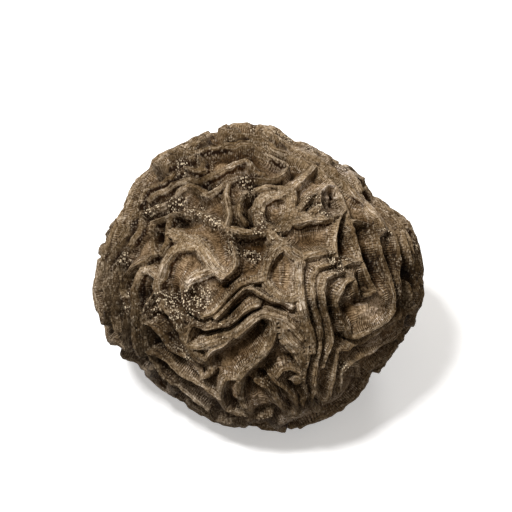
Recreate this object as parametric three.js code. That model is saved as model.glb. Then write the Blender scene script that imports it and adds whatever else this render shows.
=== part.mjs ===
// A dried brain coral: one boulder-shaped colony, sawn flat underneath.
// Millimetres, +Z up, origin on the flat cut straight below the middle of the dome.
import * as THREE from "three";
import { ConvexHull } from "three/addons/math/ConvexHull.js";

// Driving dimensions, in millimetres.
const HALF_WIDTH = 82;        // middle of the dome to its left and right sides
const HALF_DEPTH = 80;        // middle of the dome to its front and back
const CROWN_HEIGHT = 74;      // middle of the dome to the crown
const CUT_BELOW = 54;         // middle of the dome down to the flat cut
const ROUND = 78;             // mean radius, which turns angles into lengths along the dome
const CREST_HALF = 0.6;       // half the flat top of a ridge
const FLANK = 5.2;            // crest edge to valley floor, along the dome
const VALLEY_DEPTH = 6.2;     // valley floor below the ridge tops
const LOW_CREST = 2.4;        // how far the small inner ridges stay below the others
const CREVICE_HALF = 3.2;     // half width of the deep creases
const CREVICE_DEPTH = 2.6;    // how far they go below the valley floor
const FLOOR_DOWN = 6.5;       // the creases and borings the photo shows lie this far below the ridge tops
const RIDGE_PITCH = 12.5;     // ridge to ridge where the photo shows none
const SEED_ROOM = 11.75;      // a new ridge starts at least this far from every other
const STOP_SHORT = 7.75;      // a growing ridge stops this far from the next one
const PAST_CUT = 7;           // a growing ridge runs on this far below the cut
const CUT_RADIUS = 56;        // mean radius of the rim of the cut

// Mesh spacing, in millimetres.
const SAMPLE = 0.9;           // between points that stand for a crest line
const STATION = 3;            // crest points from one vertex to the next
const FLOOR_STEP = 5.0;       // between vertices across a valley
const NEAREST = 2.3;          // vertices closer than this are left out
const RIM_STEP = 3.4;         // between vertices around the cut
const RIM_CLEAR = 1.6;        // height of the lowest vertices over the cut
const GROWTH_STEP = 1.5;      // between points of a growing ridge
const GROWTH_STEPS = 60;      // most steps a ridge grows each way
const OWN_POINTS = 14;        // a growing ridge doesn't count these latest points of its own as near
const SEED_EVERY = 5;         // crest points from one try at a new ridge to the next
const SHORTEST = 7;           // fewest points of a ridge that is kept
const VALLEY_START = 1.6;     // first place beside a crest where a valley vertex may lie
const VALLEY_END = 24;        // farthest such place
const VALLEY_STEP = 0.4;      // between such places
const VALLEY_LEAST = 1.2;     // least distance from the crest to the vertex in mid valley

// How the photo sees the coral: pixel units, with the sight line level along +Y and tipped down.
const SIGHT_TILT = THREE.MathUtils.degToRad(40);
const FOCAL = 1208.9;
const PICTURE_MIDDLE = 256;
const DOME_PIXEL = [259, 275];
const MM_PER_PIXEL = 0.5;
const OUTLINE_SHRINK = 0.991; // the near edge hides a little of the widest girth

// Corners of the outline in the photo, clockwise from the top.
const OUTLINE = [
  [238, 120], [257, 123], [277, 127], [295, 139], [337, 159], [365, 177], [373, 195], [411, 222],
  [420, 243], [424, 266], [424, 294], [411, 326], [392, 353], [374, 374], [342, 408], [310, 422],
  [284, 430], [255, 427], [225, 424], [209, 417], [181, 398], [137, 364], [125, 358], [103, 332],
  [96, 307], [93, 287], [96, 268], [101, 243], [110, 224], [123, 206], [135, 179], [149, 167],
  [151, 159], [179, 144], [227, 123],
];

// Ridge crests the photo shows, traced in its pixels and named by what they look like.
const CRESTS = {
  hook: [[206, 148], [222, 144], [240, 141], [255, 142], [264, 147], [272, 155], [281, 160], [289, 165],
    [286, 172], [277, 178], [264, 179]],
  brow: [[196, 180], [207, 175], [216, 171], [226, 166], [236, 162], [246, 160], [256, 167], [265, 173],
    [270, 178]],
  bead: [[206, 195], [216, 190], [224, 183], [234, 179], [248, 178], [264, 179]],
  fold: [[262, 136], [275, 147], [288, 152], [301, 158], [315, 166], [308, 173], [300, 181], [292, 188],
    [281, 187], [268, 187], [256, 189]],
  crown_rim: [[268, 130], [281, 139], [296, 147], [310, 155], [322, 160]],
  crown_back: [[222, 144], [228, 136], [240, 133], [254, 135], [262, 136]],
  crown_left: [[168, 152], [182, 151], [196, 150], [206, 148]],
  curl: [[152, 166], [164, 163], [177, 160], [188, 157], [196, 155], [202, 159], [200, 166]],
  ledge: [[145, 186], [154, 181], [164, 175], [173, 171], [183, 166], [194, 169], [204, 168]],
  notched: [[315, 166], [323, 171], [330, 179], [337, 187], [343, 197], [348, 208]],
  shoulder: [[322, 160], [335, 170], [346, 181], [357, 193], [368, 204], [379, 216], [387, 230]],
  right_rim: [[341, 164], [355, 173], [366, 183], [378, 198], [390, 209], [402, 224], [409, 239], [413, 254]],
  collar: [[337, 187], [328, 186], [321, 192], [320, 202], [325, 212], [334, 217], [343, 214], [348, 208]],
  tongue: [[321, 192], [314, 195], [308, 202], [302, 209]],
  ring: [[292, 188], [281, 193], [269, 195], [260, 200], [258, 212], [261, 223], [270, 230], [281, 229],
    [289, 221], [293, 210], [293, 198], [292, 188]],
  bank: [[293, 210], [300, 215], [310, 214], [320, 208]],
  pillar: [[230, 181], [226, 192], [228, 204], [229, 216], [226, 228]],
  inlet: [[256, 189], [246, 193], [240, 202], [240, 214], [246, 222]],
  glitter: [[184, 214], [195, 213], [207, 218], [218, 223], [226, 228], [238, 232], [250, 233], [261, 231],
    [270, 230]],
  hollow_left: [[226, 228], [231, 239], [234, 250], [236, 261], [234, 270], [226, 277]],
  hub: [[270, 230], [276, 239], [285, 246], [294, 254], [302, 258]],
  panel_top: [[289, 221], [299, 222], [310, 219], [322, 218], [334, 217]],
  panel_foot: [[302, 258], [312, 255], [324, 253], [337, 251]],
  oval_left: [[285, 246], [276, 251], [270, 260], [266, 270], [264, 281]],
  oval_foot: [[264, 281], [272, 291], [282, 299], [293, 300], [300, 296]],
  long_wall: [[302, 258], [300, 270], [300, 283], [300, 296], [303, 310], [307, 324], [311, 338], [313, 352]],
  slit_upper: [[203, 317], [213, 314], [220, 307], [227, 299], [234, 292], [241, 286], [250, 283],
    [264, 281]],
  slit_lower: [[216, 319], [223, 312], [230, 304], [237, 297], [245, 289], [253, 290], [262, 296], [271, 301],
    [283, 303], [293, 308]],
  rib: [[205, 330], [216, 328], [226, 327], [234, 322], [242, 315], [250, 309], [259, 306]],
  rib_left: [[186, 346], [188, 336], [193, 326], [205, 330]],
  lip: [[186, 346], [198, 348], [210, 344], [222, 341], [234, 337], [243, 330], [252, 322], [262, 316],
    [272, 318], [284, 322], [293, 329], [300, 337], [308, 346]],
  lip_edge: [[234, 337], [224, 346], [213, 351], [207, 358], [207, 367], [210, 376], [202, 380]],
  far_lip: [[272, 318], [275, 329], [272, 342], [265, 353], [256, 362], [246, 370], [239, 379], [239, 392],
    [242, 405], [250, 413]],
  apron: [[284, 322], [283, 334], [290, 343], [299, 351], [304, 361], [303, 372], [300, 380]],
  knot: [[277, 378], [283, 371], [292, 370], [300, 374]],
  root_a: [[256, 384], [265, 387], [272, 394], [278, 402], [284, 410], [290, 417]],
  root_b: [[271, 378], [279, 385], [288, 392], [295, 399], [298, 408], [296, 418]],
  root_d: [[239, 379], [231, 379], [225, 381], [221, 391], [221, 402], [225, 411]],
  lobe: [[166, 232], [177, 236], [189, 240], [199, 246], [205, 255], [211, 265], [219, 273], [226, 277]],
  arch: [[199, 246], [188, 247], [178, 247], [170, 254], [163, 266], [158, 279], [157, 291], [161, 303],
    [168, 313], [176, 323], [181, 335], [186, 346], [195, 356], [204, 362]],
  lobe_foot: [[211, 272], [199, 276], [189, 282], [183, 292], [184, 303], [192, 312], [203, 317]],
  pod: [[143, 324], [151, 328], [159, 336], [166, 346], [175, 354], [185, 361], [194, 368], [202, 380]],
  speck_a: [[147, 199], [156, 192], [167, 186], [178, 181], [188, 178], [196, 180]],
  speck_b: [[139, 214], [150, 211], [161, 205], [172, 198], [180, 190], [188, 186], [198, 188], [206, 195]],
  speck_c: [[150, 222], [161, 219], [172, 214], [184, 214]],
  pit_side: [[150, 222], [149, 233], [150, 244], [153, 255]],
  pit_edge: [[172, 214], [167, 223], [166, 232], [165, 243], [160, 254]],
  flank_a: [[131, 187], [126, 203], [117, 219], [109, 236], [103, 254], [99, 272], [97, 290]],
  flank_b: [[143, 189], [137, 203], [130, 216], [122, 231], [115, 246], [108, 262], [104, 278], [103, 294],
    [105, 310]],
  flank_c: [[139, 214], [137, 228], [129, 242], [121, 257], [114, 270], [112, 286], [112, 300], [111, 318],
    [116, 334]],
  flank_d: [[153, 255], [144, 262], [133, 267], [123, 277], [119, 290]],
  flank_e: [[158, 279], [148, 270], [140, 272], [135, 283], [133, 297], [133, 312], [133, 328], [135, 343],
    [140, 356]],
  flank_f: [[157, 291], [147, 304], [143, 312], [142, 324], [141, 338], [145, 352], [152, 363]],
  flank_g: [[119, 290], [124, 300], [125, 312], [123, 326], [123, 340], [127, 352]],
  skirt_a: [[145, 352], [156, 358], [167, 364], [178, 373], [190, 381], [202, 389], [213, 396], [221, 402]],
  skirt_b: [[152, 363], [160, 374], [172, 384], [184, 393], [196, 402], [208, 411]],
  skirt_c: [[225, 411], [240, 416], [256, 418], [272, 417]],
  upright: [[343, 214], [339, 224], [337, 236], [337, 251], [340, 262], [347, 272], [354, 279]],
  box_right: [[348, 208], [352, 220], [355, 232], [358, 244], [361, 256], [366, 268], [371, 280], [377, 291]],
  box_foot: [[344, 266], [353, 262], [363, 262]],
  plank: [[354, 279], [359, 288], [365, 298], [377, 291]],
  clip: [[340, 262], [330, 265], [320, 268], [315, 277], [315, 290], [317, 305], [321, 320], [323, 335],
    [321, 350], [318, 364], [316, 378], [316, 391], [321, 400], [329, 399], [332, 388], [335, 376],
    [338, 363], [339, 351]],
  clip_inner: [[347, 272], [336, 274], [327, 278], [324, 289], [326, 303], [329, 317], [332, 331], [333, 344],
    [328, 356], [325, 368]],
  block: [[354, 279], [346, 285], [342, 295], [341, 307], [345, 319], [349, 330], [353, 340]],
  tray: [[353, 340], [364, 335], [377, 329], [389, 321], [396, 311], [396, 300], [393, 288], [390, 276],
    [386, 264], [382, 250], [379, 238], [387, 230]],
  band_a: [[339, 351], [350, 350], [363, 345], [376, 338], [388, 331], [398, 322], [403, 311], [402, 299]],
  band_b: [[350, 366], [362, 357], [374, 351], [387, 345], [398, 338], [407, 326], [411, 312], [413, 298],
    [411, 285]],
  crook: [[339, 396], [341, 384], [343, 373], [350, 366], [358, 367], [359, 376]],
  col_a: [[379, 216], [390, 226], [396, 237], [400, 250], [402, 262], [399, 275], [402, 299]],
  col_b: [[402, 224], [405, 238], [409, 251], [413, 264], [418, 278], [419, 292]],
  hollow_step: [[352, 220], [362, 222], [372, 226], [379, 238]],
  foot_a: [[308, 346], [309, 359], [306, 372], [304, 384], [307, 395], [303, 407], [300, 418]],
  foot_b: [[316, 391], [312, 402], [318, 412]],
};

// Small ridges that stand inside valleys and stay lower than the walls around them.
const LOW_CRESTS = {
  hollow_tooth: [[246, 252], [254, 253], [257, 260], [252, 267]],
  oval_spine: [[282, 262], [282, 273], [281, 284]],
  root_c: [[252, 388], [253, 398], [256, 408]],
  root_e: [[231, 379], [233, 391], [234, 402]],
  arch_tongue: [[188, 263], [183, 273], [177, 285], [172, 298]],
  valley_spot: [[213, 291], [206, 297], [207, 305]],
  pod_top: [[165, 330], [172, 340], [181, 351]],
  white_rim: [[190, 188], [186, 197], [184, 206], [184, 214]],
  dark_spot: [[207, 218], [199, 226], [190, 230]],
  lobe_crease: [[218, 223], [220, 235], [223, 247], [226, 258]],
  wedge: [[143, 312], [152, 312], [161, 318]],
};

// Creases that go deeper than the valleys around them, in the photo's pixels.
const CREVICES = [
  [[152, 186], [162, 182], [174, 175], [190, 167]],
  [[160, 314], [168, 323], [176, 333], [183, 347], [194, 358], [202, 366]],
  [[310, 272], [309, 288], [310, 304], [313, 320], [316, 336]],
  [[331, 288], [334, 304], [339, 322], [346, 340], [355, 344], [372, 334], [390, 324]],
  [[400, 286], [404, 300], [407, 312], [403, 326], [392, 340], [378, 346], [362, 355]],
  [[342, 224], [341, 240], [343, 256]],
  [[253, 196], [252, 210], [252, 224]],
  [[240, 243], [252, 244], [262, 252]],
  [[263, 322], [252, 334], [240, 345], [224, 351], [212, 362]],
  [[354, 284], [357, 296], [359, 305]],
  [[231, 299], [238, 291]],
  [[234, 175], [248, 174], [264, 176]],
  [[282, 306], [272, 305], [262, 300]],
  [[278, 344], [270, 358], [266, 370], [252, 374], [246, 388]],
  [[276, 384], [284, 396], [288, 408]],
];

// Round borings: pixel of the middle, radius and depth in millimetres.
const PITS = [
  { pixel: [160, 237], radius: 3.8, depth: 13 },
  { pixel: [250, 128], radius: 5.5, depth: 10 },
  { pixel: [272, 140], radius: 4.5, depth: 9 },
  { pixel: [330, 197], radius: 3.6, depth: 11 },
  { pixel: [407, 273], radius: 3.6, depth: 11 },
  { pixel: [366, 186], radius: 3.2, depth: 8 },
];

// Waves that swing the course of the unseen ridges away from level, by so many radians.
const COURSE_WAVES = [
  { along: new THREE.Vector3(6.1, -3.4, 4.6), phase: 0.4, swing: 1.0 },
  { along: new THREE.Vector3(-3.8, 5.9, 5.1), phase: 1.9, swing: 0.9 },
  { along: new THREE.Vector3(4.9, 6.6, -5.2), phase: 4.2, swing: 0.7 },
  { along: new THREE.Vector3(-8.5, -4.8, 6.4), phase: 2.7, swing: 0.5 },
];

const rightward = new THREE.Vector3(1, 0, 0);
const upward = new THREE.Vector3(0, Math.sin(SIGHT_TILT), Math.cos(SIGHT_TILT));
const toward = new THREE.Vector3(0, -Math.cos(SIGHT_TILT), Math.sin(SIGHT_TILT));

// The outline as angle and radius around the middle of the dome, sorted by angle.
const outlineCorners = OUTLINE.map(([x, y]) => {
  const across = (x - DOME_PIXEL[0]) * MM_PER_PIXEL;
  const above = (DOME_PIXEL[1] - y) * MM_PER_PIXEL;
  return { angle: Math.atan2(above, across), radius: Math.hypot(across, above) * OUTLINE_SHRINK };
}).sort((a, b) => a.angle - b.angle);

function outlineRadius(angle) {
  const last = outlineCorners.length - 1;
  const next = outlineCorners.findIndex((corner) => corner.angle >= angle);
  let before;
  let after;
  if (next <= 0) {
    before = { ...outlineCorners[last], angle: outlineCorners[last].angle - (angle > 0 ? 0 : 2 * Math.PI) };
    after = { ...outlineCorners[0], angle: outlineCorners[0].angle + (angle > 0 ? 2 * Math.PI : 0) };
  } else {
    before = outlineCorners[next - 1];
    after = outlineCorners[next];
  }
  const share = (angle - before.angle) / (after.angle - before.angle);
  return before.radius + (after.radius - before.radius) * share;
}

// Radius of the dome over the ridge tops in a direction from its middle.
function domeRadius(direction) {
  const ellipsoid = 1 / Math.hypot(
    direction.x / HALF_WIDTH, direction.y / HALF_DEPTH, direction.z / CROWN_HEIGHT);
  const across = direction.dot(rightward);
  const above = direction.dot(upward);
  const angle = Math.atan2(above, across);
  const halfTall = Math.hypot(HALF_DEPTH * Math.sin(SIGHT_TILT), CROWN_HEIGHT * Math.cos(SIGHT_TILT));
  const plain = 1 / Math.hypot(Math.cos(angle) / HALF_WIDTH, Math.sin(angle) / halfTall);
  const edgeOn = across * across + above * above;
  return ellipsoid * (1 + (outlineRadius(angle) / plain - 1) * edgeOn);
}

const eye = toward.clone().multiplyScalar(FOCAL * MM_PER_PIXEL)
  .addScaledVector(rightward, (PICTURE_MIDDLE - DOME_PIXEL[0]) * MM_PER_PIXEL)
  .addScaledVector(upward, (DOME_PIXEL[1] - PICTURE_MIDDLE) * MM_PER_PIXEL);

// Direction, from the middle of the dome, of the point that the photo shows at a pixel, on the ridge
// tops or sunk so far below them.
function directionAtPixel([x, y], sunk = 0) {
  const ray = toward.clone().multiplyScalar(-FOCAL)
    .addScaledVector(rightward, x - PICTURE_MIDDLE)
    .addScaledVector(upward, PICTURE_MIDDLE - y)
    .normalize();
  const pointAt = (length) => eye.clone().addScaledVector(ray, length);
  let far = -eye.dot(ray);
  let near = far - 2 * HALF_WIDTH;
  const isOutside = (length) => {
    const point = pointAt(length);
    return point.length() > domeRadius(point.clone().normalize()) - sunk;
  };
  if (!isOutside(far)) {
    for (let halving = 0; halving < 40; halving += 1) {
      const middle = (near + far) / 2;
      if (isOutside(middle)) near = middle;
      else far = middle;
    }
  }
  return pointAt(far).normalize();
}

// The same for a place on a valley floor, which the ridges hide less the more squarely it is seen.
function floorAtPixel(pixel) {
  const facing = directionAtPixel(pixel).dot(toward);
  return directionAtPixel(pixel, FLOOR_DOWN * THREE.MathUtils.clamp(1.25 * facing - 0.25, 0, 1));
}

// A smooth line through directions on the dome, as points an even step apart.
function evenLine(knots) {
  const fine = [];
  const finePerSpan = 12;
  for (let span = 0; span < knots.length - 1; span += 1) {
    const a = knots[Math.max(span - 1, 0)];
    const b = knots[span];
    const c = knots[span + 1];
    const d = knots[Math.min(span + 2, knots.length - 1)];
    for (let part = 0; part < finePerSpan; part += 1) {
      const t = part / finePerSpan;
      const point = b.clone().multiplyScalar(1 - 2.5 * t * t + 1.5 * t * t * t)
        .addScaledVector(a, -0.5 * t + t * t - 0.5 * t * t * t)
        .addScaledVector(c, 0.5 * t + 2 * t * t - 1.5 * t * t * t)
        .addScaledVector(d, -0.5 * t * t + 0.5 * t * t * t);
      fine.push(point.normalize());
    }
  }
  fine.push(knots[knots.length - 1].clone());
  const reached = [0];
  for (let i = 1; i < fine.length; i += 1) {
    reached.push(reached[i - 1] + fine[i].distanceTo(fine[i - 1]) * ROUND);
  }
  const whole = reached[reached.length - 1];
  const steps = Math.max(2, Math.round(whole / SAMPLE));
  const line = [];
  let piece = 1;
  for (let step = 0; step <= steps; step += 1) {
    const goal = whole * step / steps;
    while (piece < fine.length - 1 && reached[piece] < goal) piece += 1;
    const share = (goal - reached[piece - 1]) / (reached[piece] - reached[piece - 1]);
    line.push(fine[piece - 1].clone().lerp(fine[piece], share).normalize());
  }
  return line;
}

const crestSamples = [];

function addCrest(line, drop) {
  line.forEach((point) => crestSamples.push({ point, drop }));
  return { line };
}

function nearestCrest(direction) {
  let least = Infinity;
  for (const sample of crestSamples) {
    least = Math.min(least, sample.point.distanceToSquared(direction));
  }
  return Math.sqrt(least) * ROUND;
}

const tracedLine = (pixels) => evenLine(pixels.map((pixel) => directionAtPixel(pixel)));

const crests = [
  ...Object.values(CRESTS).map((pixels) => addCrest(tracedLine(pixels), 0)),
  ...Object.values(LOW_CRESTS).map((pixels) => addCrest(tracedLine(pixels), LOW_CREST)),
];

function heightAboveCut(direction, radius) {
  return CUT_BELOW + direction.z * radius;
}

// Unit direction along the unseen ridges at a place on the dome.
function grainAt(place) {
  const east = new THREE.Vector3(-place.y, place.x, 0).normalize();
  const north = new THREE.Vector3().crossVectors(place, east);
  let course = 0;
  for (const { along, phase, swing } of COURSE_WAVES) {
    course += swing * Math.sin(along.dot(place) + phase);
  }
  return east.multiplyScalar(Math.cos(course)).addScaledVector(north, Math.sin(course));
}

function stepAlongGrain(place, length) {
  const halfway = place.clone().addScaledVector(grainAt(place), length / 2).normalize();
  return place.clone().addScaledVector(grainAt(halfway), length).normalize();
}

// A ridge grown both ways from a seed until it nears another ridge, itself or the cut.
function growLine(seed) {
  const line = [seed];
  for (const way of [1, -1]) {
    for (let count = 0; count < GROWTH_STEPS; count += 1) {
      const end = way > 0 ? line[line.length - 1] : line[0];
      const next = stepAlongGrain(end, GROWTH_STEP / ROUND * way);
      const older = way > 0 ? line.slice(0, -OWN_POINTS) : line.slice(OWN_POINTS);
      const meetsItself = older.some((point) => point.distanceTo(next) * ROUND < STOP_SHORT);
      const meetsOther = nearestCrest(next) < STOP_SHORT;
      const leaves = heightAboveCut(next, domeRadius(next)) < -PAST_CUT;
      if (meetsItself || meetsOther || leaves) break;
      if (way > 0) line.push(next);
      else line.unshift(next);
    }
  }
  return line;
}

// Lets one end of a grown ridge run on until it joins the ridge that stopped it.
function joinLine(line) {
  const end = line[line.length - 1];
  let closest = null;
  let least = Infinity;
  for (const sample of crestSamples) {
    const gap = sample.point.distanceTo(end) * ROUND;
    if (gap < least) {
      least = gap;
      closest = sample.point;
    }
  }
  if (least < RIDGE_PITCH) line.push(closest.clone());
  return line;
}

function growRidges() {
  const queue = [...crests];
  while (queue.length > 0) {
    const { line } = queue.shift();
    for (let i = 2; i < line.length - 2; i += SEED_EVERY) {
      const along = line[i + 1].clone().sub(line[i - 1]).normalize();
      const sideways = new THREE.Vector3().crossVectors(line[i], along);
      for (const side of [1, -1]) {
        const seed = line[i].clone().addScaledVector(sideways, side * RIDGE_PITCH / ROUND).normalize();
        const unseen = seed.dot(toward) < 0.5;
        const onCoral = heightAboveCut(seed, domeRadius(seed)) > 0;
        if (unseen && onCoral && nearestCrest(seed) > SEED_ROOM) {
          const grown = growLine(seed);
          if (grown.length >= SHORTEST) {
            const crest = addCrest(evenLine(joinLine(grown)), 0);
            crests.push(crest);
            queue.push(crest);
          }
        }
      }
    }
  }
}

growRidges();

const crevicePoints = CREVICES.flatMap((pixels) => evenLine(pixels.map(floorAtPixel)));
const pits = PITS.map((pit) => ({ ...pit, middle: floorAtPixel(pit.pixel) }));

// How far the surface lies below the ridge tops.
function depthAt(direction) {
  let depth = VALLEY_DEPTH;
  for (const { point, drop } of crestSamples) {
    const gap = point.distanceTo(direction) * ROUND - CREST_HALF;
    if (gap < FLANK) {
      const share = Math.max(gap, 0) / FLANK;
      depth = Math.min(depth, drop + VALLEY_DEPTH * Math.sin(share * Math.PI / 2));
    }
  }
  let crease = Infinity;
  for (const point of crevicePoints) {
    crease = Math.min(crease, point.distanceTo(direction) * ROUND);
  }
  depth += CREVICE_DEPTH * Math.max(0, 1 - crease / CREVICE_HALF);
  for (const { middle, radius, depth: pitDepth } of pits) {
    const share = middle.distanceTo(direction) * ROUND / radius;
    if (share < 1) depth = Math.max(depth, pitDepth * (1 - share * share));
  }
  return depth;
}

function surfaceRadius(direction) {
  return domeRadius(direction) - depthAt(direction);
}

const vertices = [];

function addVertex(direction, radius) {
  const crowded = vertices.some((vertex) => vertex.direction.distanceTo(direction) * ROUND < NEAREST);
  if (!crowded) vertices.push({ direction, radius });
}

// Vertices around the rim of the flat cut.
function addRim() {
  const around = Math.round(2 * Math.PI * CUT_RADIUS / RIM_STEP);
  for (let turn = 0; turn < around; turn += 1) {
    const azimuth = 2 * Math.PI * turn / around;
    const directionAt = (polar) => new THREE.Vector3(
      Math.sin(polar) * Math.cos(azimuth), Math.sin(polar) * Math.sin(azimuth), Math.cos(polar));
    let above = Math.PI / 2;
    let below = Math.PI * 0.9;
    for (let halving = 0; halving < 24; halving += 1) {
      const middle = (above + below) / 2;
      const direction = directionAt(middle);
      if (heightAboveCut(direction, surfaceRadius(direction)) > 0) above = middle;
      else below = middle;
    }
    const direction = directionAt(above);
    vertices.push({ direction, radius: -CUT_BELOW / direction.z });
  }
}

function addIfAboveCut(direction) {
  const radius = surfaceRadius(direction);
  if (heightAboveCut(direction, radius) > RIM_CLEAR) addVertex(direction, radius);
}

function addPits() {
  for (const { middle, radius } of pits) {
    addIfAboveCut(middle);
    const reference = new THREE.Vector3(0, 0, 1).cross(middle).normalize();
    for (let turn = 0; turn < 6; turn += 1) {
      const spoke = reference.clone().applyAxisAngle(middle, turn * Math.PI / 3);
      addIfAboveCut(middle.clone().addScaledVector(spoke, radius * 0.98 / ROUND).normalize());
    }
  }
}

// A row along every crest, then vertices outward to the middle of the valley.
function addCrestRow({ line }) {
  for (let i = 0; i < line.length; i += STATION) addIfAboveCut(line[i]);
  addIfAboveCut(line[line.length - 1]);
}

function addValleyRows({ line }) {
  for (let i = 0; i < line.length; i += STATION) {
    const ahead = line[Math.min(i + 1, line.length - 1)];
    const behind = line[Math.max(i - 1, 0)];
    const along = ahead.clone().sub(behind).normalize();
    const sideways = new THREE.Vector3().crossVectors(line[i], along);
    for (const side of [1, -1]) {
      addValleyVertices((gap) => line[i].clone().addScaledVector(sideways, side * gap / ROUND).normalize());
    }
  }
}

function addValleyVertices(outward) {
  let placed = 0;
  for (let gap = VALLEY_START; gap < VALLEY_END; gap += VALLEY_STEP) {
    const direction = outward(gap);
    const inMiddle = nearestCrest(direction) < gap - VALLEY_STEP / 2;
    if (gap - placed > FLOOR_STEP || (inMiddle && gap - placed > VALLEY_LEAST)) {
      addIfAboveCut(direction);
      placed = gap;
    }
    if (inMiddle) break;
  }
}

addRim();
addPits();
crests.forEach(addCrestRow);
crests.forEach(addValleyRows);

// Every vertex is a direction on a sphere; the hull of those directions joins neighbours.
function skinGeometry() {
  const order = new Map();
  const directions = vertices.map(({ direction }, index) => {
    order.set(direction, index);
    return direction;
  });
  const positions = vertices.flatMap(({ direction, radius }) => [
    direction.x * radius, direction.y * radius, Math.max(heightAboveCut(direction, radius), 0)]);
  const indices = [];
  for (const face of new ConvexHull().setFromPoints(directions).faces) {
    let edge = face.edge;
    do {
      indices.push(order.get(edge.head().point));
      edge = edge.next;
    } while (edge !== face.edge);
  }
  const geometry = new THREE.BufferGeometry();
  geometry.setAttribute("position", new THREE.Float32BufferAttribute(positions, 3));
  geometry.setIndex(indices);
  geometry.computeVertexNormals();
  return geometry;
}

const coralMaterial = new THREE.MeshStandardMaterial({ color: 0x7d6a50, roughness: 0.85, metalness: 0 });
const coral = new THREE.Mesh(skinGeometry(), coralMaterial);
coral.name = "brain_coral";

const group = new THREE.Group();
group.add(coral);

export default group;
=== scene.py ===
"""Brain coral: a dried boulder colony whose ridges carry fine radial plates, sawn flat underneath."""

import math

import bmesh
import bpy
import numpy as np
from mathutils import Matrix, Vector, kdtree, noise
from mathutils.geometry import delaunay_2d_cdt


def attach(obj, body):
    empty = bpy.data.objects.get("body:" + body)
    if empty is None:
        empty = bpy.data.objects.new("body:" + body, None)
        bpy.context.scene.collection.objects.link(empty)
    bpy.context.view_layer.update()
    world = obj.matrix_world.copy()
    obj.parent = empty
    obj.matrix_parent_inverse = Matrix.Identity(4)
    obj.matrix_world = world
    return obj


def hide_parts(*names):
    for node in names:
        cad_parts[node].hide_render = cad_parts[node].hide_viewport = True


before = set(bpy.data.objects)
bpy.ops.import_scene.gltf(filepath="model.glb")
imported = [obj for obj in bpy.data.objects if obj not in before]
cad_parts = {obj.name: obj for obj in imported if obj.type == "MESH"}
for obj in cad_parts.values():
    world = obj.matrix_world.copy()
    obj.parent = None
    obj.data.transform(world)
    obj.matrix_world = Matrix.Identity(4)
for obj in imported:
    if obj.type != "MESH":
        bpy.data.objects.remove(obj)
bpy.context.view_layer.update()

bl_info = {
    "name": "Brain Coral",
    "version": (1, 0, 0),
    "blender": (4, 5, 0),
    "location": "View3D > Sidebar > Coral",
    "description": "Grows a dried brain coral with winding ridges and sets it on a pale floor",
    "category": "Add Mesh",
}

MM = 0.001

# The colony's sizes in millimetres, the same as the solid's.
HALF_WIDTH = 82.0
HALF_DEPTH = 80.0
CROWN_HEIGHT = 74.0
CUT_BELOW = 54.0  # middle of the dome down to the flat cut
CUT_RADIUS = 56.0  # mean radius of the rim of the cut
ROUND = 78.0  # mean radius, which turns angles into lengths along the dome
CREVICE_HALF = 3.2  # half width of the deep creases
FLOOR_DOWN = 6.5  # the creases and borings in sight lie this far below the ridge tops

# How ridges grow where the photograph shows none, in millimetres and points.
RIDGE_PITCH = 12.5
SAMPLE = 0.9  # between points that stand for a crest line
SEED_EVERY = 5  # crest points from one try at a new ridge to the next
SEED_ROOM = 11.75  # a new ridge starts at least this far from every other
UNSEEN = 0.5  # a new ridge starts only where the dome faces the camera less than this
STOP_SHORT = 7.75  # a growing ridge stops this far from the next one
PAST_CUT = 7.0  # a growing ridge runs on this far below the cut
GROWTH_STEP = 1.5  # between points of a growing ridge
GROWTH_STEPS = 60  # most steps a ridge grows each way
OWN_POINTS = 14  # a growing ridge doesn't count these latest points of its own as near
SHORTEST = 7  # fewest points of a ridge that is kept
GROWN_WIDTH = 0.8  # half of a grown ridge's broad top

# The profile of the ridges, in millimetres; it is finer than the solid's.
CREST_HALF = 0.4  # half the flat top of a narrow ridge
FLANK = 5.0  # crest edge to valley floor, along the dome
WALL_CURVE = 1.05  # power that shapes the flank: higher is rounder at the crest
LOW_CREST = 3.8  # how far the small inner ridges stay below the others
ROUNDING = 0.28  # how far a crest line rounds its knots: 0 leaves corners, 0.5 none
CREST_SAMPLE = 0.4  # between crest points that distances are measured to
CREASE_SAMPLE = 0.5  # the same for the creases
LEAST_GAP = 0.3  # closer to a crest than this, neither side fully counts as the lee
WIDTH_WAVES = 14  # waves of noise, to the dome's radius, that vary the broad tops
HALFWAY_DOWN = 4.0  # the soft patches in sight lie this far below the ridge tops
LEANING = 0.35  # share by which a flank is steeper on the lee and gentler on the other side
SWELLING = 0.5  # share of the depth that a full swell fills or a full hollow adds

# The columns of vertices that run down from the crests, in millimetres.
ROW_GAPS = (0.9, 1.9, 3.1, 4.5, 6.1, 7.9, 9.9, 12.2, 14.8)
NEARER_BY = 0.15  # a column ends where another crest is nearer by this
CROWDED = 0.46  # of the vertices in a cube with this side, one is kept
FAN_TURNS = 5  # columns on either side of the straight one at a ridge's end
FAN_STEP = 15  # degrees between them
RIM_STEP = 0.7  # between vertices around the cut
RIM_CLEAR = 0.4  # height of the lowest vertices over the cut
RIM_LIE = 0.6  # how deep in a valley the rim counts as lying
LOWEST_RIM = 0.9 * math.pi  # polar angle that is past the rim everywhere
INSIDE_RIM = 1  # the kind of result in which only triangles inside the rim are left
WELD_WITHIN = 1e-7  # vertices this near on the dome spread flat are taken as one

# The radial plates: heights differ by a number scrambled from each plate's own.
PLATE_LEAST = 0.6
PLATE_SPREAD = 0.8
SCRAMBLE_TURN = 12.9898
SCRAMBLE_SPREAD = 43758.5453
PLATE_GAPS = (0, 1, 3, 6, 12)  # millimetres from the crest
PLATE_FADES = (0.05, 0.15, 1, 0.9, 0.5)  # share of a plate's height there

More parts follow.
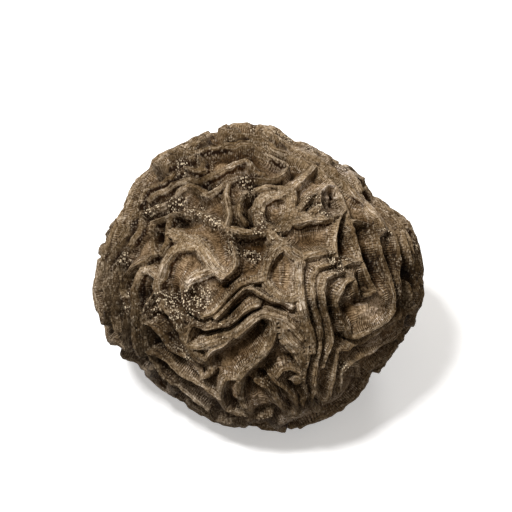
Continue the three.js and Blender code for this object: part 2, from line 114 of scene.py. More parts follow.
# Unevenness of growth: waves of noise to the dome's radius, and their heights in millimetres.
BROAD_WAVES = 6
BROAD_HEIGHT = 1.0
FOLD_WAVES = 13
FOLD_HEIGHT = 1.3
WRINKLE_WAVES = 31
WRINKLE_HEIGHT = 0.2
FOLD_LEVEL = 0.4  # folded noise peaks at this

# The finish: waves of noise and grains per metre, the grains' shape, the fine relief, and how tones
# grow and turn warmer as they darken.
PATCH_WAVES = 38
BLOTCH_WAVES = 150
SAWN_WAVES = 300
GRAIN_WAVES = 900
GRANULES_PER_METRE = 1000.0
SPECKS_PER_METRE = 1500.0
GRAIN_SHAPE = (1.0, 1.0, 0.55)
BUMP_STRENGTH = 0.8
BUMP_HEIGHT = 0.6 * MM
DRY_ROUGHNESS = 0.75
TOOTH_SHINE = 0.35  # how much smoother the teeth are
REFLECTION = 0.1  # strength of plain reflections
SAWN_BELOW = 0.05 * MM  # up to this height all is sawn face
GROWN_ABOVE = 0.15 * MM  # and from this height on none is
TONE_BASE = 2.7
GREEN_POWER = 1.12
BLUE_POWER = 1.36

# Tone, and painted glints, on the sides out of sight, from noise.
SIGHT_EDGE = 0.4  # the noise sets in where the dome faces the camera less than this
SIGHT_FADE = 0.3  # and is full where it faces the camera less by this much
UNSEEN_TONE = 0.35  # mean tone of those sides
DRIFT_WAVES = 5
SPARKLE_WAVES = 7
SPARKLE_PHASE = 3.5
SPARKLE_GAIN = 2.0
SPARKLE_LOSS = 0.3
SPARKLE_MOST = 0.6

# The studio: where each lamp hangs in metres, its side in metres and its power in watts.
LAMPS = {
    "key": ((-0.33, -0.28, 1.0), 0.18, 10.6),
    "rim": ((0.25, 0.85, 0.4), 0.25, 3.0),
}
SKY_COLOUR = (1, 0.91, 0.8, 1)
SKY_LOW = 0.1  # strength below the floor
SKY_RISE = 0.2  # how much stronger it is overhead
SKY_BAND = (-0.2, 0.6)  # heights between which it grows
FLOOR_HALF = 4.0  # half the floor's side in metres
FLOOR_WHITE = (0.95, 0.95, 0.95, 1)
FLOOR_GLOW = 0.4  # light of its own, which keeps it pale
FLOOR_ROUGHNESS = 0.9
SENSOR_WIDTH = 36  # millimetres
NEAREST_SEEN = 0.01  # metres

# Halvings that close in on a place: along a line of sight and on the rim.
SIGHT_HALVINGS = 40
RIM_HALVINGS = 18
SPAN_PARTS = 12  # parts a smooth line has between two knots

# How the photograph sees the colony, in its pixels.
SIGHT_TILT = math.radians(40)
FOCAL = 1208.9  # focal length in pixels
PICTURE_SIDE = 512
PICTURE_MIDDLE = 256
DOME_PIXEL = (259, 275)
MM_PER_PIXEL = 0.5
OUTLINE_SHRINK = 0.991  # the near edge hides a little of the widest girth
FACING_EDGE = 0.2  # things are placed without depth where the dome faces the camera less than this

# Corners of the outline in the photograph, clockwise from the top.
OUTLINE = (
    (238, 120), (257, 123), (277, 127), (295, 139), (337, 159), (365, 177), (373, 195), (411, 222),
    (420, 243), (424, 266), (424, 294), (411, 326), (392, 353), (374, 374), (342, 408), (310, 422),
    (284, 430), (255, 427), (225, 424), (209, 417), (181, 398), (137, 364), (125, 358), (103, 332),
    (96, 307), (93, 287), (96, 268), (101, 243), (110, 224), (123, 206), (135, 179), (149, 167),
    (151, 159), (179, 144), (227, 123),
)

# Ridge crests the photograph shows, traced in its pixels and named by what they look like.
CRESTS = {
    "hook": ((206, 148), (222, 144), (240, 141), (255, 142), (264, 147), (272, 155), (281, 160), (289, 165),
        (286, 172), (277, 178), (264, 179)),
    "brow": ((196, 180), (207, 175), (216, 171), (226, 166), (236, 162), (246, 160), (256, 167), (265, 173),
        (270, 178)),
    "bead": ((206, 195), (216, 190), (224, 183), (234, 179), (248, 178), (264, 179)),
    "fold": ((262, 136), (275, 147), (288, 152), (301, 158), (315, 166), (308, 173), (300, 181), (292, 188),
        (281, 187), (268, 187), (256, 189)),
    "crown_rim": ((268, 130), (281, 139), (296, 147), (310, 155), (322, 160)),
    "crown_back": ((222, 144), (228, 136), (240, 133), (254, 135), (262, 136)),
    "crown_left": ((168, 152), (182, 151), (196, 150), (206, 148)),
    "curl": ((152, 166), (164, 163), (177, 160), (188, 157), (196, 155), (202, 159), (200, 166)),
    "ledge": ((145, 186), (154, 181), (164, 175), (173, 171), (183, 166), (194, 169), (204, 168)),
    "notched": ((315, 166), (323, 171), (330, 179), (337, 187), (343, 197), (348, 208)),
    "shoulder": ((322, 160), (335, 170), (346, 181), (357, 193), (368, 204), (379, 216), (387, 230)),
    "right_rim": ((341, 164), (355, 173), (366, 183), (378, 198), (390, 209), (402, 224), (409, 239),
        (413, 254)),
    "collar": ((337, 187), (328, 186), (321, 192), (320, 202), (325, 212), (334, 217), (343, 214),
        (348, 208)),
    "tongue": ((321, 192), (314, 195), (308, 202), (302, 209)),
    "ring": ((292, 188), (281, 193), (269, 195), (260, 200), (258, 212), (261, 223), (270, 230), (281, 229),
        (289, 221), (293, 210), (293, 198), (292, 188)),
    "bank": ((293, 210), (300, 215), (310, 214), (320, 208)),
    "pillar": ((230, 181), (226, 192), (228, 204), (229, 216), (226, 228)),
    "inlet": ((256, 189), (246, 193), (240, 202), (240, 214), (246, 222)),
    "glitter": ((184, 214), (195, 213), (207, 218), (218, 223), (226, 228), (238, 232), (250, 233),
        (261, 231),
        (270, 230)),
    "hollow_left": ((226, 228), (231, 239), (234, 250), (236, 261), (234, 270), (226, 277)),
    "hub": ((270, 230), (276, 239), (285, 246), (294, 254), (302, 258)),
    "panel_top": ((289, 221), (299, 222), (310, 219), (322, 218), (334, 217)),
    "panel_foot": ((302, 258), (312, 255), (324, 253), (337, 251)),
    "oval_left": ((285, 246), (276, 251), (270, 260), (266, 270), (264, 281)),
    "oval_foot": ((264, 281), (272, 291), (282, 299), (293, 300), (300, 296)),
    "long_wall": ((302, 258), (300, 270), (300, 283), (300, 296), (303, 310), (307, 324), (311, 338),
        (313, 352)),
    "slit_upper": ((203, 317), (213, 314), (220, 307), (227, 299), (234, 292), (241, 286), (250, 283),
        (264, 281)),
    "slit_lower": ((216, 319), (223, 312), (230, 304), (237, 297), (245, 289), (253, 290), (262, 296),
        (271, 301),
        (283, 303), (293, 308)),
    "rib": ((205, 330), (216, 328), (226, 327), (234, 322), (242, 315), (250, 309), (259, 306)),
    "rib_left": ((186, 346), (188, 336), (193, 326), (205, 330)),
    "lip": ((186, 346), (198, 348), (210, 344), (222, 341), (234, 337), (243, 330), (252, 322), (262, 316),
        (272, 318), (284, 322), (293, 329), (300, 337), (308, 346)),
    "lip_edge": ((234, 337), (224, 346), (213, 351), (207, 358), (207, 367), (210, 376), (202, 380)),
    "far_lip": ((272, 318), (275, 329), (272, 342), (265, 353), (256, 362), (246, 370), (239, 379),
        (239, 392),
        (242, 405), (250, 413)),
    "apron": ((284, 322), (283, 334), (290, 343), (299, 351), (304, 361), (303, 372), (300, 380)),
    "knot": ((277, 378), (283, 371), (292, 370), (300, 374)),
    "root_a": ((256, 384), (265, 387), (272, 394), (278, 402), (284, 410), (290, 417)),
    "root_b": ((271, 378), (279, 385), (288, 392), (295, 399), (298, 408), (296, 418)),
    "root_d": ((239, 379), (231, 379), (225, 381), (221, 391), (221, 402), (225, 411)),
    "lobe": ((166, 232), (177, 236), (189, 240), (199, 246), (205, 255), (211, 265), (219, 273),
        (226, 277)),
    "arch": ((199, 246), (188, 247), (178, 247), (170, 254), (163, 266), (158, 279), (157, 291), (161, 303),
        (168, 313), (176, 323), (181, 335), (186, 346), (195, 356), (204, 362)),
    "lobe_foot": ((211, 272), (199, 276), (189, 282), (183, 292), (184, 303), (192, 312), (203, 317)),
    "pod": ((143, 324), (151, 328), (159, 336), (166, 346), (175, 354), (185, 361), (194, 368), (202, 380)),
    "speck_a": ((147, 199), (156, 192), (167, 186), (178, 181), (188, 178), (196, 180)),
    "speck_b": ((139, 214), (150, 211), (161, 205), (172, 198), (180, 190), (188, 186), (198, 188),
        (206, 195)),
    "speck_c": ((150, 222), (161, 219), (172, 214), (184, 214)),
    "pit_side": ((150, 222), (149, 233), (150, 244), (153, 255)),
    "pit_edge": ((172, 214), (167, 223), (166, 232), (165, 243), (160, 254)),
    "flank_a": ((131, 187), (126, 203), (117, 219), (109, 236), (103, 254), (99, 272), (97, 290)),
    "flank_b": ((143, 189), (137, 203), (130, 216), (122, 231), (115, 246), (108, 262), (104, 278),
        (103, 294),
        (105, 310)),
    "flank_c": ((139, 214), (137, 228), (129, 242), (121, 257), (114, 270), (112, 286), (112, 300),
        (111, 318),
        (116, 334)),
    "flank_d": ((153, 255), (144, 262), (133, 267), (123, 277), (119, 290)),
    "flank_e": ((158, 279), (148, 270), (140, 272), (135, 283), (133, 297), (133, 312), (133, 328),
        (135, 343),
        (140, 356)),
    "flank_f": ((157, 291), (147, 304), (143, 312), (142, 324), (141, 338), (145, 352), (152, 363)),
    "flank_g": ((119, 290), (124, 300), (125, 312), (123, 326), (123, 340), (127, 352)),
    "skirt_a": ((145, 352), (156, 358), (167, 364), (178, 373), (190, 381), (202, 389), (213, 396),
        (221, 402)),
    "skirt_b": ((152, 363), (160, 374), (172, 384), (184, 393), (196, 402), (208, 411)),
    "skirt_c": ((225, 411), (240, 416), (256, 418), (272, 417)),
    "upright": ((343, 214), (339, 224), (337, 236), (337, 251), (340, 262), (347, 272), (354, 279)),
    "box_right": ((348, 208), (352, 220), (355, 232), (358, 244), (361, 256), (366, 268), (371, 280),
        (377, 291)),
    "box_foot": ((344, 266), (353, 262), (363, 262)),
    "plank": ((354, 279), (359, 288), (365, 298), (377, 291)),
    "clip": ((340, 262), (330, 265), (320, 268), (315, 277), (315, 290), (317, 305), (321, 320), (323, 335),
        (321, 350), (318, 364), (316, 378), (316, 391), (321, 400), (329, 399), (332, 388), (335, 376),
        (338, 363), (339, 351)),
    "clip_inner": ((347, 272), (336, 274), (327, 278), (324, 289), (326, 303), (329, 317), (332, 331),
        (333, 344),
        (328, 356), (325, 368)),
    "block": ((354, 279), (346, 285), (342, 295), (341, 307), (345, 319), (349, 330), (353, 340)),
    "tray": ((353, 340), (364, 335), (377, 329), (389, 321), (396, 311), (396, 300), (393, 288), (390, 276),
        (386, 264), (382, 250), (379, 238), (387, 230)),
    "band_a": ((339, 351), (350, 350), (363, 345), (376, 338), (388, 331), (398, 322), (403, 311),
        (402, 299)),
    "band_b": ((350, 366), (362, 357), (374, 351), (387, 345), (398, 338), (407, 326), (411, 312),
        (413, 298),
        (411, 285)),
    "crook": ((339, 396), (341, 384), (343, 373), (350, 366), (358, 367), (359, 376)),
    "col_a": ((379, 216), (390, 226), (396, 237), (400, 250), (402, 262), (399, 275), (402, 299)),
    "col_b": ((402, 224), (405, 238), (409, 251), (413, 264), (418, 278), (419, 292)),
    "hollow_step": ((352, 220), (362, 222), (372, 226), (379, 238)),
    "foot_a": ((308, 346), (309, 359), (306, 372), (304, 384), (307, 395), (303, 407), (300, 418)),
    "foot_b": ((316, 391), (312, 402), (318, 412)),
}

# Small ridges that stand inside valleys and stay lower than the walls around them.
LOW_CRESTS = {
    "hollow_tooth": ((246, 252), (254, 253), (257, 260), (252, 267)),
    "oval_spine": ((282, 262), (282, 273), (281, 284)),
    "root_c": ((252, 388), (253, 398), (256, 408)),
    "root_e": ((231, 379), (233, 391), (234, 402)),
    "arch_tongue": ((188, 263), (183, 273), (177, 285), (172, 298)),
    "valley_spot": ((213, 291), (206, 297), (207, 305)),
    "pod_top": ((165, 330), (172, 340), (181, 351)),
    "white_rim": ((190, 188), (186, 197), (184, 206), (184, 214)),
    "dark_spot": ((207, 218), (199, 226), (190, 230)),
    "lobe_crease": ((218, 223), (220, 235), (223, 247), (226, 258)),
    "wedge": ((143, 312), (152, 312), (161, 318)),
}

# Creases that go deeper than the valleys around them.
CREVICES = (
    ((152, 186), (162, 182), (174, 175), (190, 167)),
    ((160, 314), (168, 323), (176, 333), (183, 347), (194, 358), (202, 366)),
    ((310, 272), (309, 288), (310, 304), (313, 320), (316, 336)),
    ((331, 288), (334, 304), (339, 322), (346, 340), (355, 344), (372, 334), (390, 324)),
    ((400, 286), (404, 300), (407, 312), (403, 326), (392, 340), (378, 346), (362, 355)),
    ((342, 224), (341, 240), (343, 256)),
    ((253, 196), (252, 210), (252, 224)),
    ((240, 243), (252, 244), (262, 252)),
    ((263, 322), (252, 334), (240, 345), (224, 351), (212, 362)),
    ((354, 284), (357, 296), (359, 305)),
    ((231, 299), (238, 291)),
    ((234, 175), (248, 174), (264, 176)),
    ((282, 306), (272, 305), (262, 300)),
    ((278, 344), (270, 358), (266, 370), (252, 374), (246, 388)),
    ((276, 384), (284, 396), (288, 408)),
)

# Ridges with broad tops: millimetres of flat added to each side of the crest.
BROAD_CRESTS = {
    "ring": 1.8,
    "lobe": 2.2,
    "arch": 1.4,
    "lobe_foot": 1.2,
    "hub": 1.6,
    "panel_top": 1.2,
    "panel_foot": 0.8,
    "bank": 1.4,
    "long_wall": 1.4,
    "oval_left": 1.0,
    "oval_foot": 1.0,
    "apron": 2.4,
    "lip": 0.9,
    "far_lip": 0.8,
    "fold": 0.6,
    "shoulder": 1.6,
    "crown_rim": 1.8,
    "glitter": 1.0,
    "speck_b": 0.8,
    "flank_e": 0.8,
}

# Round borings: pixel of the middle, radius and depth in millimetres.
PITS = (
    ((160, 237), 3.8, 13.0),
    ((250, 128), 5.5, 10.0),
    ((272, 140), 4.5, 9.0),
    ((330, 197), 3.6, 11.0),
    ((407, 273), 3.6, 11.0),
    ((366, 186), 3.2, 8.0),
)

# Deeper places, darkened too, partly in their own tone and partly as painted shade: pixel of the middle,
# radius in millimetres, and strength.
HOLLOWS = (
    ((250, 127), 4, 2.8), ((272, 139), 3.5, 2.5), ((230, 135), 12, 0.5), ((180, 150), 12, 0.4),
    ((202, 166), 4, 0.6), ((174, 172), 5, 0.7), ((258, 178), 6, 0.6), ((336, 180), 6, 0.7),
    ((139, 183), 9, 1.5), ((203, 190), 6, 1.7), ((243, 200), 4, 0.4), ((333, 201), 3, 1.0),
    ((196, 213), 6, 0.6), ((256, 213), 5, 0.8), ((140, 215), 7, 0.7), ((243, 222), 5, 0.6),
    ((181, 223), 4, 0.8), ((121, 224), 6, 1.3), ((282, 225), 5, 1.1), ((371, 230), 6, 2.1),
    ((129, 237), 7, 0.7), ((160, 237), 4, 2.2), ((348, 237), 5.5, 1.4), ((246, 247), 4, 0.6),
    ((316, 246), 8, 0.6), ((174, 256), 5, 0.7), ((265, 256), 6, 1.0), ((375, 260), 6, 1.6),
    ((394, 264), 7, 1.6), ((205, 271), 4, 0.7), ((370, 278), 7, 0.8), ((413, 278), 9, 1.4),
    ((122, 284), 7, 1.1), ((424, 286), 4, 1.2), ((233, 290), 5.5, 1.8), ((358, 293), 5, 2.0),
    ((146, 296), 7, 1.1), ((179, 299), 5, 1.2), ((330, 300), 6, 0.4), ((401, 303), 8, 1.9),
    ((311, 304), 5, 0.7), ((237, 311), 5, 0.9), ((342, 311), 6, 1.4), ((320, 312), 8, 0.8),
    ((106, 313), 10, 1.3), ((142, 323), 9, 1.0), ((303, 324), 5, 0.7), ((163, 325), 6.5, 0.9),
    ((202, 325), 6, 1.3), ((364, 328), 6, 0.9), ((266, 332), 6, 1.5), ((230, 334), 6, 1.2),
    ((405, 334), 9, 1.5), ((318, 337), 6, 0.8), ((347, 339), 5, 1.2), ((180, 344), 6, 1.6),
    ((150, 350), 9, 0.3), ((163, 352), 8, 1.1), ((232, 354), 4, 0.7), ((252, 354), 7, 1.3),
    ((200, 355), 5, 0.9), ((355, 356), 5, 0.5), ((333, 358), 5, 0.6), ((293, 362), 5, 1.0),
    ((240, 363), 4, 0.5), ((165, 372), 6, 0.9), ((268, 376), 7, 1.2), ((370, 379), 8, 1.0),
    ((255, 381), 4, 1.0), ((293, 384), 5, 1.2), ((303, 401), 6, 1.8), ((243, 404), 5, 1.0),
    ((267, 413), 6, 1.2), ((220, 140), 32, 0.3), ((110, 290), 26, 0.35), ((415, 290), 20, 0.35),
)

# Shallower places, paled too, partly in their own tone and partly as painted light, in the same form.
SWELLS = (
    ((300, 150), 14, 0.6), ((332, 163), 8, 1.5), ((218, 163), 6, 0.9), ((265, 168), 6, 0.6),
    ((232, 170), 6, 1.1), ((353, 177), 8, 0.8), ((288, 181), 5, 0.7), ((214, 183), 5, 0.7),
    ((312, 183), 6, 0.8), ((301, 189), 5, 0.9), ((330, 190), 5, 1.2), ((238, 192), 5, 0.8),
    ((366, 193), 5, 0.8), ((326, 198), 5, 1.5), ((188, 200), 6, 1.1), ((210, 203), 6, 0.6),
    ((356, 205), 8, 1.2), ((145, 207), 4, 0.4), ((273, 208), 7, 1.2), ((246, 210), 3, 0.5),
    ((188, 222), 4, 0.4), ((205, 230), 8, 0.7), ((322, 231), 9, 1.1), ((292, 235), 5, 1.2),
    ((384, 241), 6, 1.5), ((253, 242), 5, 0.5), ((270, 300), 4, 0.7), ((364, 245), 6, 0.9),
    ((143, 248), 5, 1.0), ((205, 258), 8, 0.3), ((255, 260), 6, 0.6), ((222, 262), 6, 0.9),
    ((311, 262), 5, 0.8), ((181, 264), 8, 1.1), ((130, 266), 5, 0.9), ((353, 267), 4, 1.2),
    ((285, 268), 7, 0.9), ((307, 275), 5, 0.7), ((149, 279), 5, 1.3), ((230, 281), 5, 0.8),
    ((283, 282), 5, 0.7), ((202, 284), 6, 1.7), ((329, 284), 6, 1.2), ((409, 292), 6, 1.4),
    ((211, 298), 5, 0.8), ((238, 298), 5, 1.1), ((348, 298), 4, 2.4), ((305, 302), 6, 0.9),
    ((379, 306), 7, 2.1), ((152, 310), 6, 1.6), ((292, 310), 7, 0.6), ((363, 317), 8, 1.5),
    ((212, 318), 6, 0.9), ((397, 324), 6, 1.5), ((258, 326), 5, 1.0), ((155, 337), 5, 1.0),
    ((200, 339), 5, 0.8), ((374, 340), 6, 1.5), ((240, 342), 7, 1.3), ((275, 347), 7, 1.2),
    ((225, 352), 8, 1.2), ((345, 354), 5, 0.8), ((186, 357), 4, 0.4), ((366, 358), 6, 0.8),
    ((257, 364), 5, 1.3), ((194, 366), 6, 1.1), ((322, 366), 6, 0.7), ((348, 371), 5, 0.8),
    ((287, 374), 4, 1.6), ((250, 376), 5, 0.8), ((229, 387), 5, 0.9), ((162, 388), 12, 1.7),
    ((207, 396), 7, 1.2), ((338, 398), 9, 1.0), ((289, 399), 5, 0.9), ((258, 402), 7, 1.7),
    ((200, 412), 9, 1.0), ((285, 416), 6, 0.8), ((303, 417), 8, 1.8), ((255, 426), 8, 1.2),
    ((335, 350), 40, 0.25), ((348, 168), 7, 0.9), ((312, 148), 7, 0.8),
)

# Places where painted glints, cream highlights on the septal teeth, stand on darkened ground, in the same
# form.
GLITTER_PATCHES = (
    ((180, 166), 7.0, 1.0), ((160, 176), 5.6, 0.8), ((196, 163), 4.9, 0.7), ((176, 203), 7.0, 1.0),
    ((152, 212), 6.3, 0.9), ((198, 212), 5.6, 0.9), ((220, 183), 5.6, 0.7), ((247, 182), 5.6, 0.8),
    ((246, 195), 4.2, 0.8), ((263, 212), 4.2, 0.6), ((268, 233), 6.3, 1.2), ((235, 246), 5.6, 1.0),
    ((254, 255), 4.9, 1.0), ((123, 257), 6.3, 0.9), ((336, 261), 7.0, 1.1), ((322, 209), 6.3, 0.9),
    ((351, 212), 6.3, 0.9), ((384, 235), 5.6, 0.8), ((300, 204), 5.6, 0.6), ((196, 300), 9.1, 1.2),
    ((165, 302), 5.6, 1.0), ((150, 310), 4.9, 0.8), ((176, 322), 4.9, 0.8), ((187, 354), 6.3, 1.1),
    ((125, 295), 7.0, 0.6), ((250, 287), 4.2, 0.6), ((290, 250), 4.9, 0.6), ((394, 285), 5.6, 0.8),
    ((310, 311), 5.6, 0.6), ((345, 300), 5.6, 0.6), ((288, 369), 5.6, 0.6), ((305, 382), 5.6, 0.6),
    ((312, 148), 5.0, 0.9), ((332, 160), 5.0, 0.9), ((350, 170), 5.0, 0.7), ((343, 362), 7.0, 0.6),
    ((414, 245), 7.0, 0.6), ((288, 137), 8.4, 1.0), ((275, 130), 7.0, 0.9),
    ((215, 225), 5.6, 0.7), ((225, 330), 6.3, 0.6), ((320, 205), 7.0, 0.6), ((135, 310), 5.6, 0.6),
)

# Places under a grey film, in the same form; near the top right rim the grey is painted sheen.
FILM_AND_SHEEN_PATCHES = (
    ((105, 280), 22, 0.6), ((115, 330), 24, 0.6), ((150, 370), 22, 0.8), ((200, 405), 20, 0.8),
    ((250, 420), 16, 0.6), ((150, 175), 14, 0.6), ((175, 205), 10, 0.6), ((280, 165), 8, 0.5),
    ((330, 205), 7, 0.8), ((370, 380), 12, 0.5), ((318, 152), 10, 0.8), ((350, 172), 9, 0.8),
    ((340, 400), 12, 0.6), ((285, 424), 10, 0.6),
)

# Waves that swing the course of the unseen ridges: wave vector, phase, swing in radians.
COURSE_WAVES = (
    ((6.1, -3.4, 4.6), 0.4, 1.0),
    ((-3.8, 5.9, 5.1), 1.9, 0.9),
    ((4.9, 6.6, -5.2), 4.2, 0.7),
    ((-8.5, -4.8, 6.4), 2.7, 0.5),
)

RIGHTWARD = np.array((1.0, 0.0, 0.0))
UPWARD = np.array((0.0, math.sin(SIGHT_TILT), math.cos(SIGHT_TILT)))
TOWARD = np.array((0.0, -math.cos(SIGHT_TILT), math.sin(SIGHT_TILT)))
EYE = (
    TOWARD * FOCAL * MM_PER_PIXEL
    + RIGHTWARD * (PICTURE_MIDDLE - DOME_PIXEL[0]) * MM_PER_PIXEL
    + UPWARD * (DOME_PIXEL[1] - PICTURE_MIDDLE) * MM_PER_PIXEL
)
LEAN = 0.55 * RIGHTWARD - 0.83 * UPWARD  # the way the ridges lean
SEMI_AXES = np.array((HALF_WIDTH, HALF_DEPTH, CROWN_HEIGHT))
HALF_TALL = math.hypot(HALF_DEPTH * math.sin(SIGHT_TILT), CROWN_HEIGHT * math.cos(SIGHT_TILT))


def unit(vectors):
    """Vectors scaled to length one."""
    return vectors / np.linalg.norm(vectors, axis=-1, keepdims=True)


def outline_corners():
    """Angles and radii, in millimetres, of the outline's corners around the middle of the dome."""
    corners = (np.array(OUTLINE, float) - DOME_PIXEL) * (MM_PER_PIXEL, -MM_PER_PIXEL)
    across = corners[:, 0]
    above = corners[:, 1]
    return np.arctan2(above, across), np.hypot(across, above) * OUTLINE_SHRINK


CORNER_ANGLES, CORNER_RADII = outline_corners()


def dome_radius(directions):
    """Radius of the dome over the ridge tops, in directions from its middle."""
    ellipsoid = 1 / np.linalg.norm(directions / SEMI_AXES, axis=-1)
    across = directions @ RIGHTWARD
    above = directions @ UPWARD
    angle = np.arctan2(above, across)
    plain = 1 / np.hypot(np.cos(angle) / HALF_WIDTH, np.sin(angle) / HALF_TALL)
    traced = np.interp(angle, CORNER_ANGLES, CORNER_RADII, period=2 * math.pi)
    return ellipsoid * (1 + (traced / plain - 1) * (across**2 + above**2))


def directions_at(pixels, sunk=0.0):
    """Directions, from the middle of the dome, of the points seen at pixels, sunk below the ridge tops."""
    if sunk > 0:
        facing = directions_at(pixels) @ TOWARD
        sunk = sunk * np.clip((facing - FACING_EDGE) / (1 - FACING_EDGE), 0, 1)
    pixels = np.array(pixels, float).reshape(-1, 2)
    rays = unit(
        -FOCAL * TOWARD
        + np.outer(pixels[:, 0] - PICTURE_MIDDLE, RIGHTWARD)
        + np.outer(PICTURE_MIDDLE - pixels[:, 1], UPWARD)
    )

    def outside(lengths):
        points = EYE + rays * lengths[:, None]
        return np.linalg.norm(points, axis=1) > dome_radius(unit(points)) - sunk

    far = -(rays @ EYE)
    near = far - 2 * HALF_WIDTH
    hits = ~outside(far)
    for _ in range(SIGHT_HALVINGS):
        middle = (near + far) / 2
        is_out = outside(middle)
        near = np.where(hits & is_out, middle, near)
        far = np.where(hits & ~is_out, middle, far)
    return unit(EYE + rays * far[:, None])


def even_line(knots, step):
    """A smooth line through directions on the dome, as points an even step apart."""
    fine = []
    parts = np.arange(SPAN_PARTS)[:, None] / SPAN_PARTS
    for span in range(len(knots) - 1):
        a = knots[max(span - 1, 0)]
        b = knots[span]
        c = knots[span + 1]
        d = knots[min(span + 2, len(knots) - 1)]
        fine.append(
            b
            + (c - a) * ROUNDING * parts
            + (a * 2 * ROUNDING + b * (ROUNDING - 3) + c * (3 - 2 * ROUNDING) - d * ROUNDING) * parts**2
            + ((d - a) * ROUNDING + (b - c) * (2 - ROUNDING)) * parts**3
        )
    fine = unit(np.vstack([*fine, knots[-1:]]))
    reached = np.concatenate([[0], np.cumsum(np.linalg.norm(np.diff(fine, axis=0), axis=1) * ROUND)])
    steps = max(2, math.floor(reached[-1] / step + 0.5))
    goals = reached[-1] * np.arange(steps + 1) / steps
    return unit(np.stack([np.interp(goals, reached, fine[:, axis]) for axis in range(3)], axis=1))


def height_above_cut(directions, radii):
    """Height in millimetres of points above the flat cut."""
    return CUT_BELOW + directions[..., 2] * radii


def grain_at(place):
    """Unit direction along the unseen ridges at a place on the dome."""
    east = unit(np.array((-place[1], place[0], 0.0)))
    north = np.cross(place, east)
    course = sum(swing * math.sin(np.dot(along, place) + phase) for along, phase, swing in COURSE_WAVES)
    return east * math.cos(course) + north * math.sin(course)


class Ridges:
    """The crest lines of the colony: those the photograph shows, then those grown around them."""

    def __init__(self):
        self.lines = []
        self.drops = []
        self.widths = []
        for name, pixels in CRESTS.items():
            self.add(even_line(directions_at(pixels), SAMPLE), 0.0, BROAD_CRESTS.get(name, 0.0))
        for pixels in LOW_CRESTS.values():
            self.add(even_line(directions_at(pixels), SAMPLE), LOW_CREST, 0.0)
        self.grow()

    def add(self, line, drop, width):
        """Keeps a crest line, how far its crest stays below the others, and its broad half width."""
        self.lines.append(line)
        self.drops.append(drop)
        self.widths.append(width)
        self.samples = np.vstack(self.lines)

    def gaps(self, place):
        """Distances in millimetres from a place to every sample of every crest."""
        return np.linalg.norm(self.samples - place, axis=1) * ROUND

    def grow(self):
        """Seeds new ridges a pitch beside the ones there are, wherever there is room out of sight."""
        done = 0
        while done < len(self.lines):
            line = self.lines[done]
            done += 1
            for index in range(2, len(line) - 2, SEED_EVERY):
                sideways = np.cross(line[index], unit(line[index + 1] - line[index - 1]))
                for side in (1, -1):
                    seed = unit(line[index] + sideways * side * RIDGE_PITCH / ROUND)
                    unseen = seed @ TOWARD < UNSEEN
                    on_coral = height_above_cut(seed, dome_radius(seed)) > 0
                    if unseen and on_coral and self.gaps(seed).min() > SEED_ROOM:
                        grown = self.grown_line(seed)
                        if len(grown) >= SHORTEST:
                            self.add(even_line(self.joined(grown), SAMPLE), 0.0, GROWN_WIDTH)

    def grown_line(self, seed):
        """A ridge grown both ways from a seed until it nears another ridge, itself or the cut."""
        line = [seed]
        for way in (1, -1):
            for _ in range(GROWTH_STEPS):
                end = line[-1] if way > 0 else line[0]
                stride = GROWTH_STEP / ROUND * way
                halfway = unit(end + grain_at(end) * stride / 2)
                following = unit(end + grain_at(halfway) * stride)
                older = line[:-OWN_POINTS] if way > 0 else line[OWN_POINTS:]
                meets_itself = any(np.linalg.norm(p - following) * ROUND < STOP_SHORT for p in older)
                leaves = height_above_cut(following, dome_radius(following)) < -PAST_CUT
                if meets_itself or leaves or self.gaps(following).min() < STOP_SHORT:
                    break
                if way > 0:
                    line.append(following)
                else:
                    line.insert(0, following)
        return np.array(line)

    def joined(self, line):
        """The line with its last end run on to the ridge that stopped it."""
        gaps = self.gaps(line[-1])
        if gaps.min() < RIDGE_PITCH:
            return np.vstack([line, self.samples[gaps.argmin()]])
        return line


def tree_of(points):
    """A search tree of directions."""
    tree = kdtree.KDTree(len(points))
    for index, point in enumerate(points):
        tree.insert(point, index)
    tree.balance()
    return tree


def gaps_to(tree, directions):
    """Distances in millimetres along the dome to the nearest point in a tree."""
    return np.array([tree.find(direction)[2] for direction in directions]) * ROUND


def patch_strength(directions, listed):
    """How strongly each direction lies in the listed soft patches."""
    total = np.zeros(len(directions))
    middles = directions_at([pixel for pixel, _, _ in listed], HALFWAY_DOWN)
    for middle, (_, radius, strength) in zip(middles, listed):
        gaps = np.linalg.norm(directions - middle, axis=1) * ROUND
        total += strength * np.exp(-((gaps / radius) ** 2))
    return total


def swell_strength(directions):
    """How far the valleys swell up, or sink where this is below nothing."""
    return patch_strength(directions, SWELLS) - patch_strength(directions, HOLLOWS)


def noise_at(directions, waves, phase=0.0):
    """Smooth noise at directions on the dome, from about -1 to 1."""
    return np.array([noise.noise(Vector(place * waves + phase)) for place in directions])


def unseen_share(directions):
    """1 on the sides that the photograph doesn't show, fading to 0 where it does."""
    return np.clip((SIGHT_EDGE - directions @ TOWARD) / SIGHT_FADE, 0, 1)


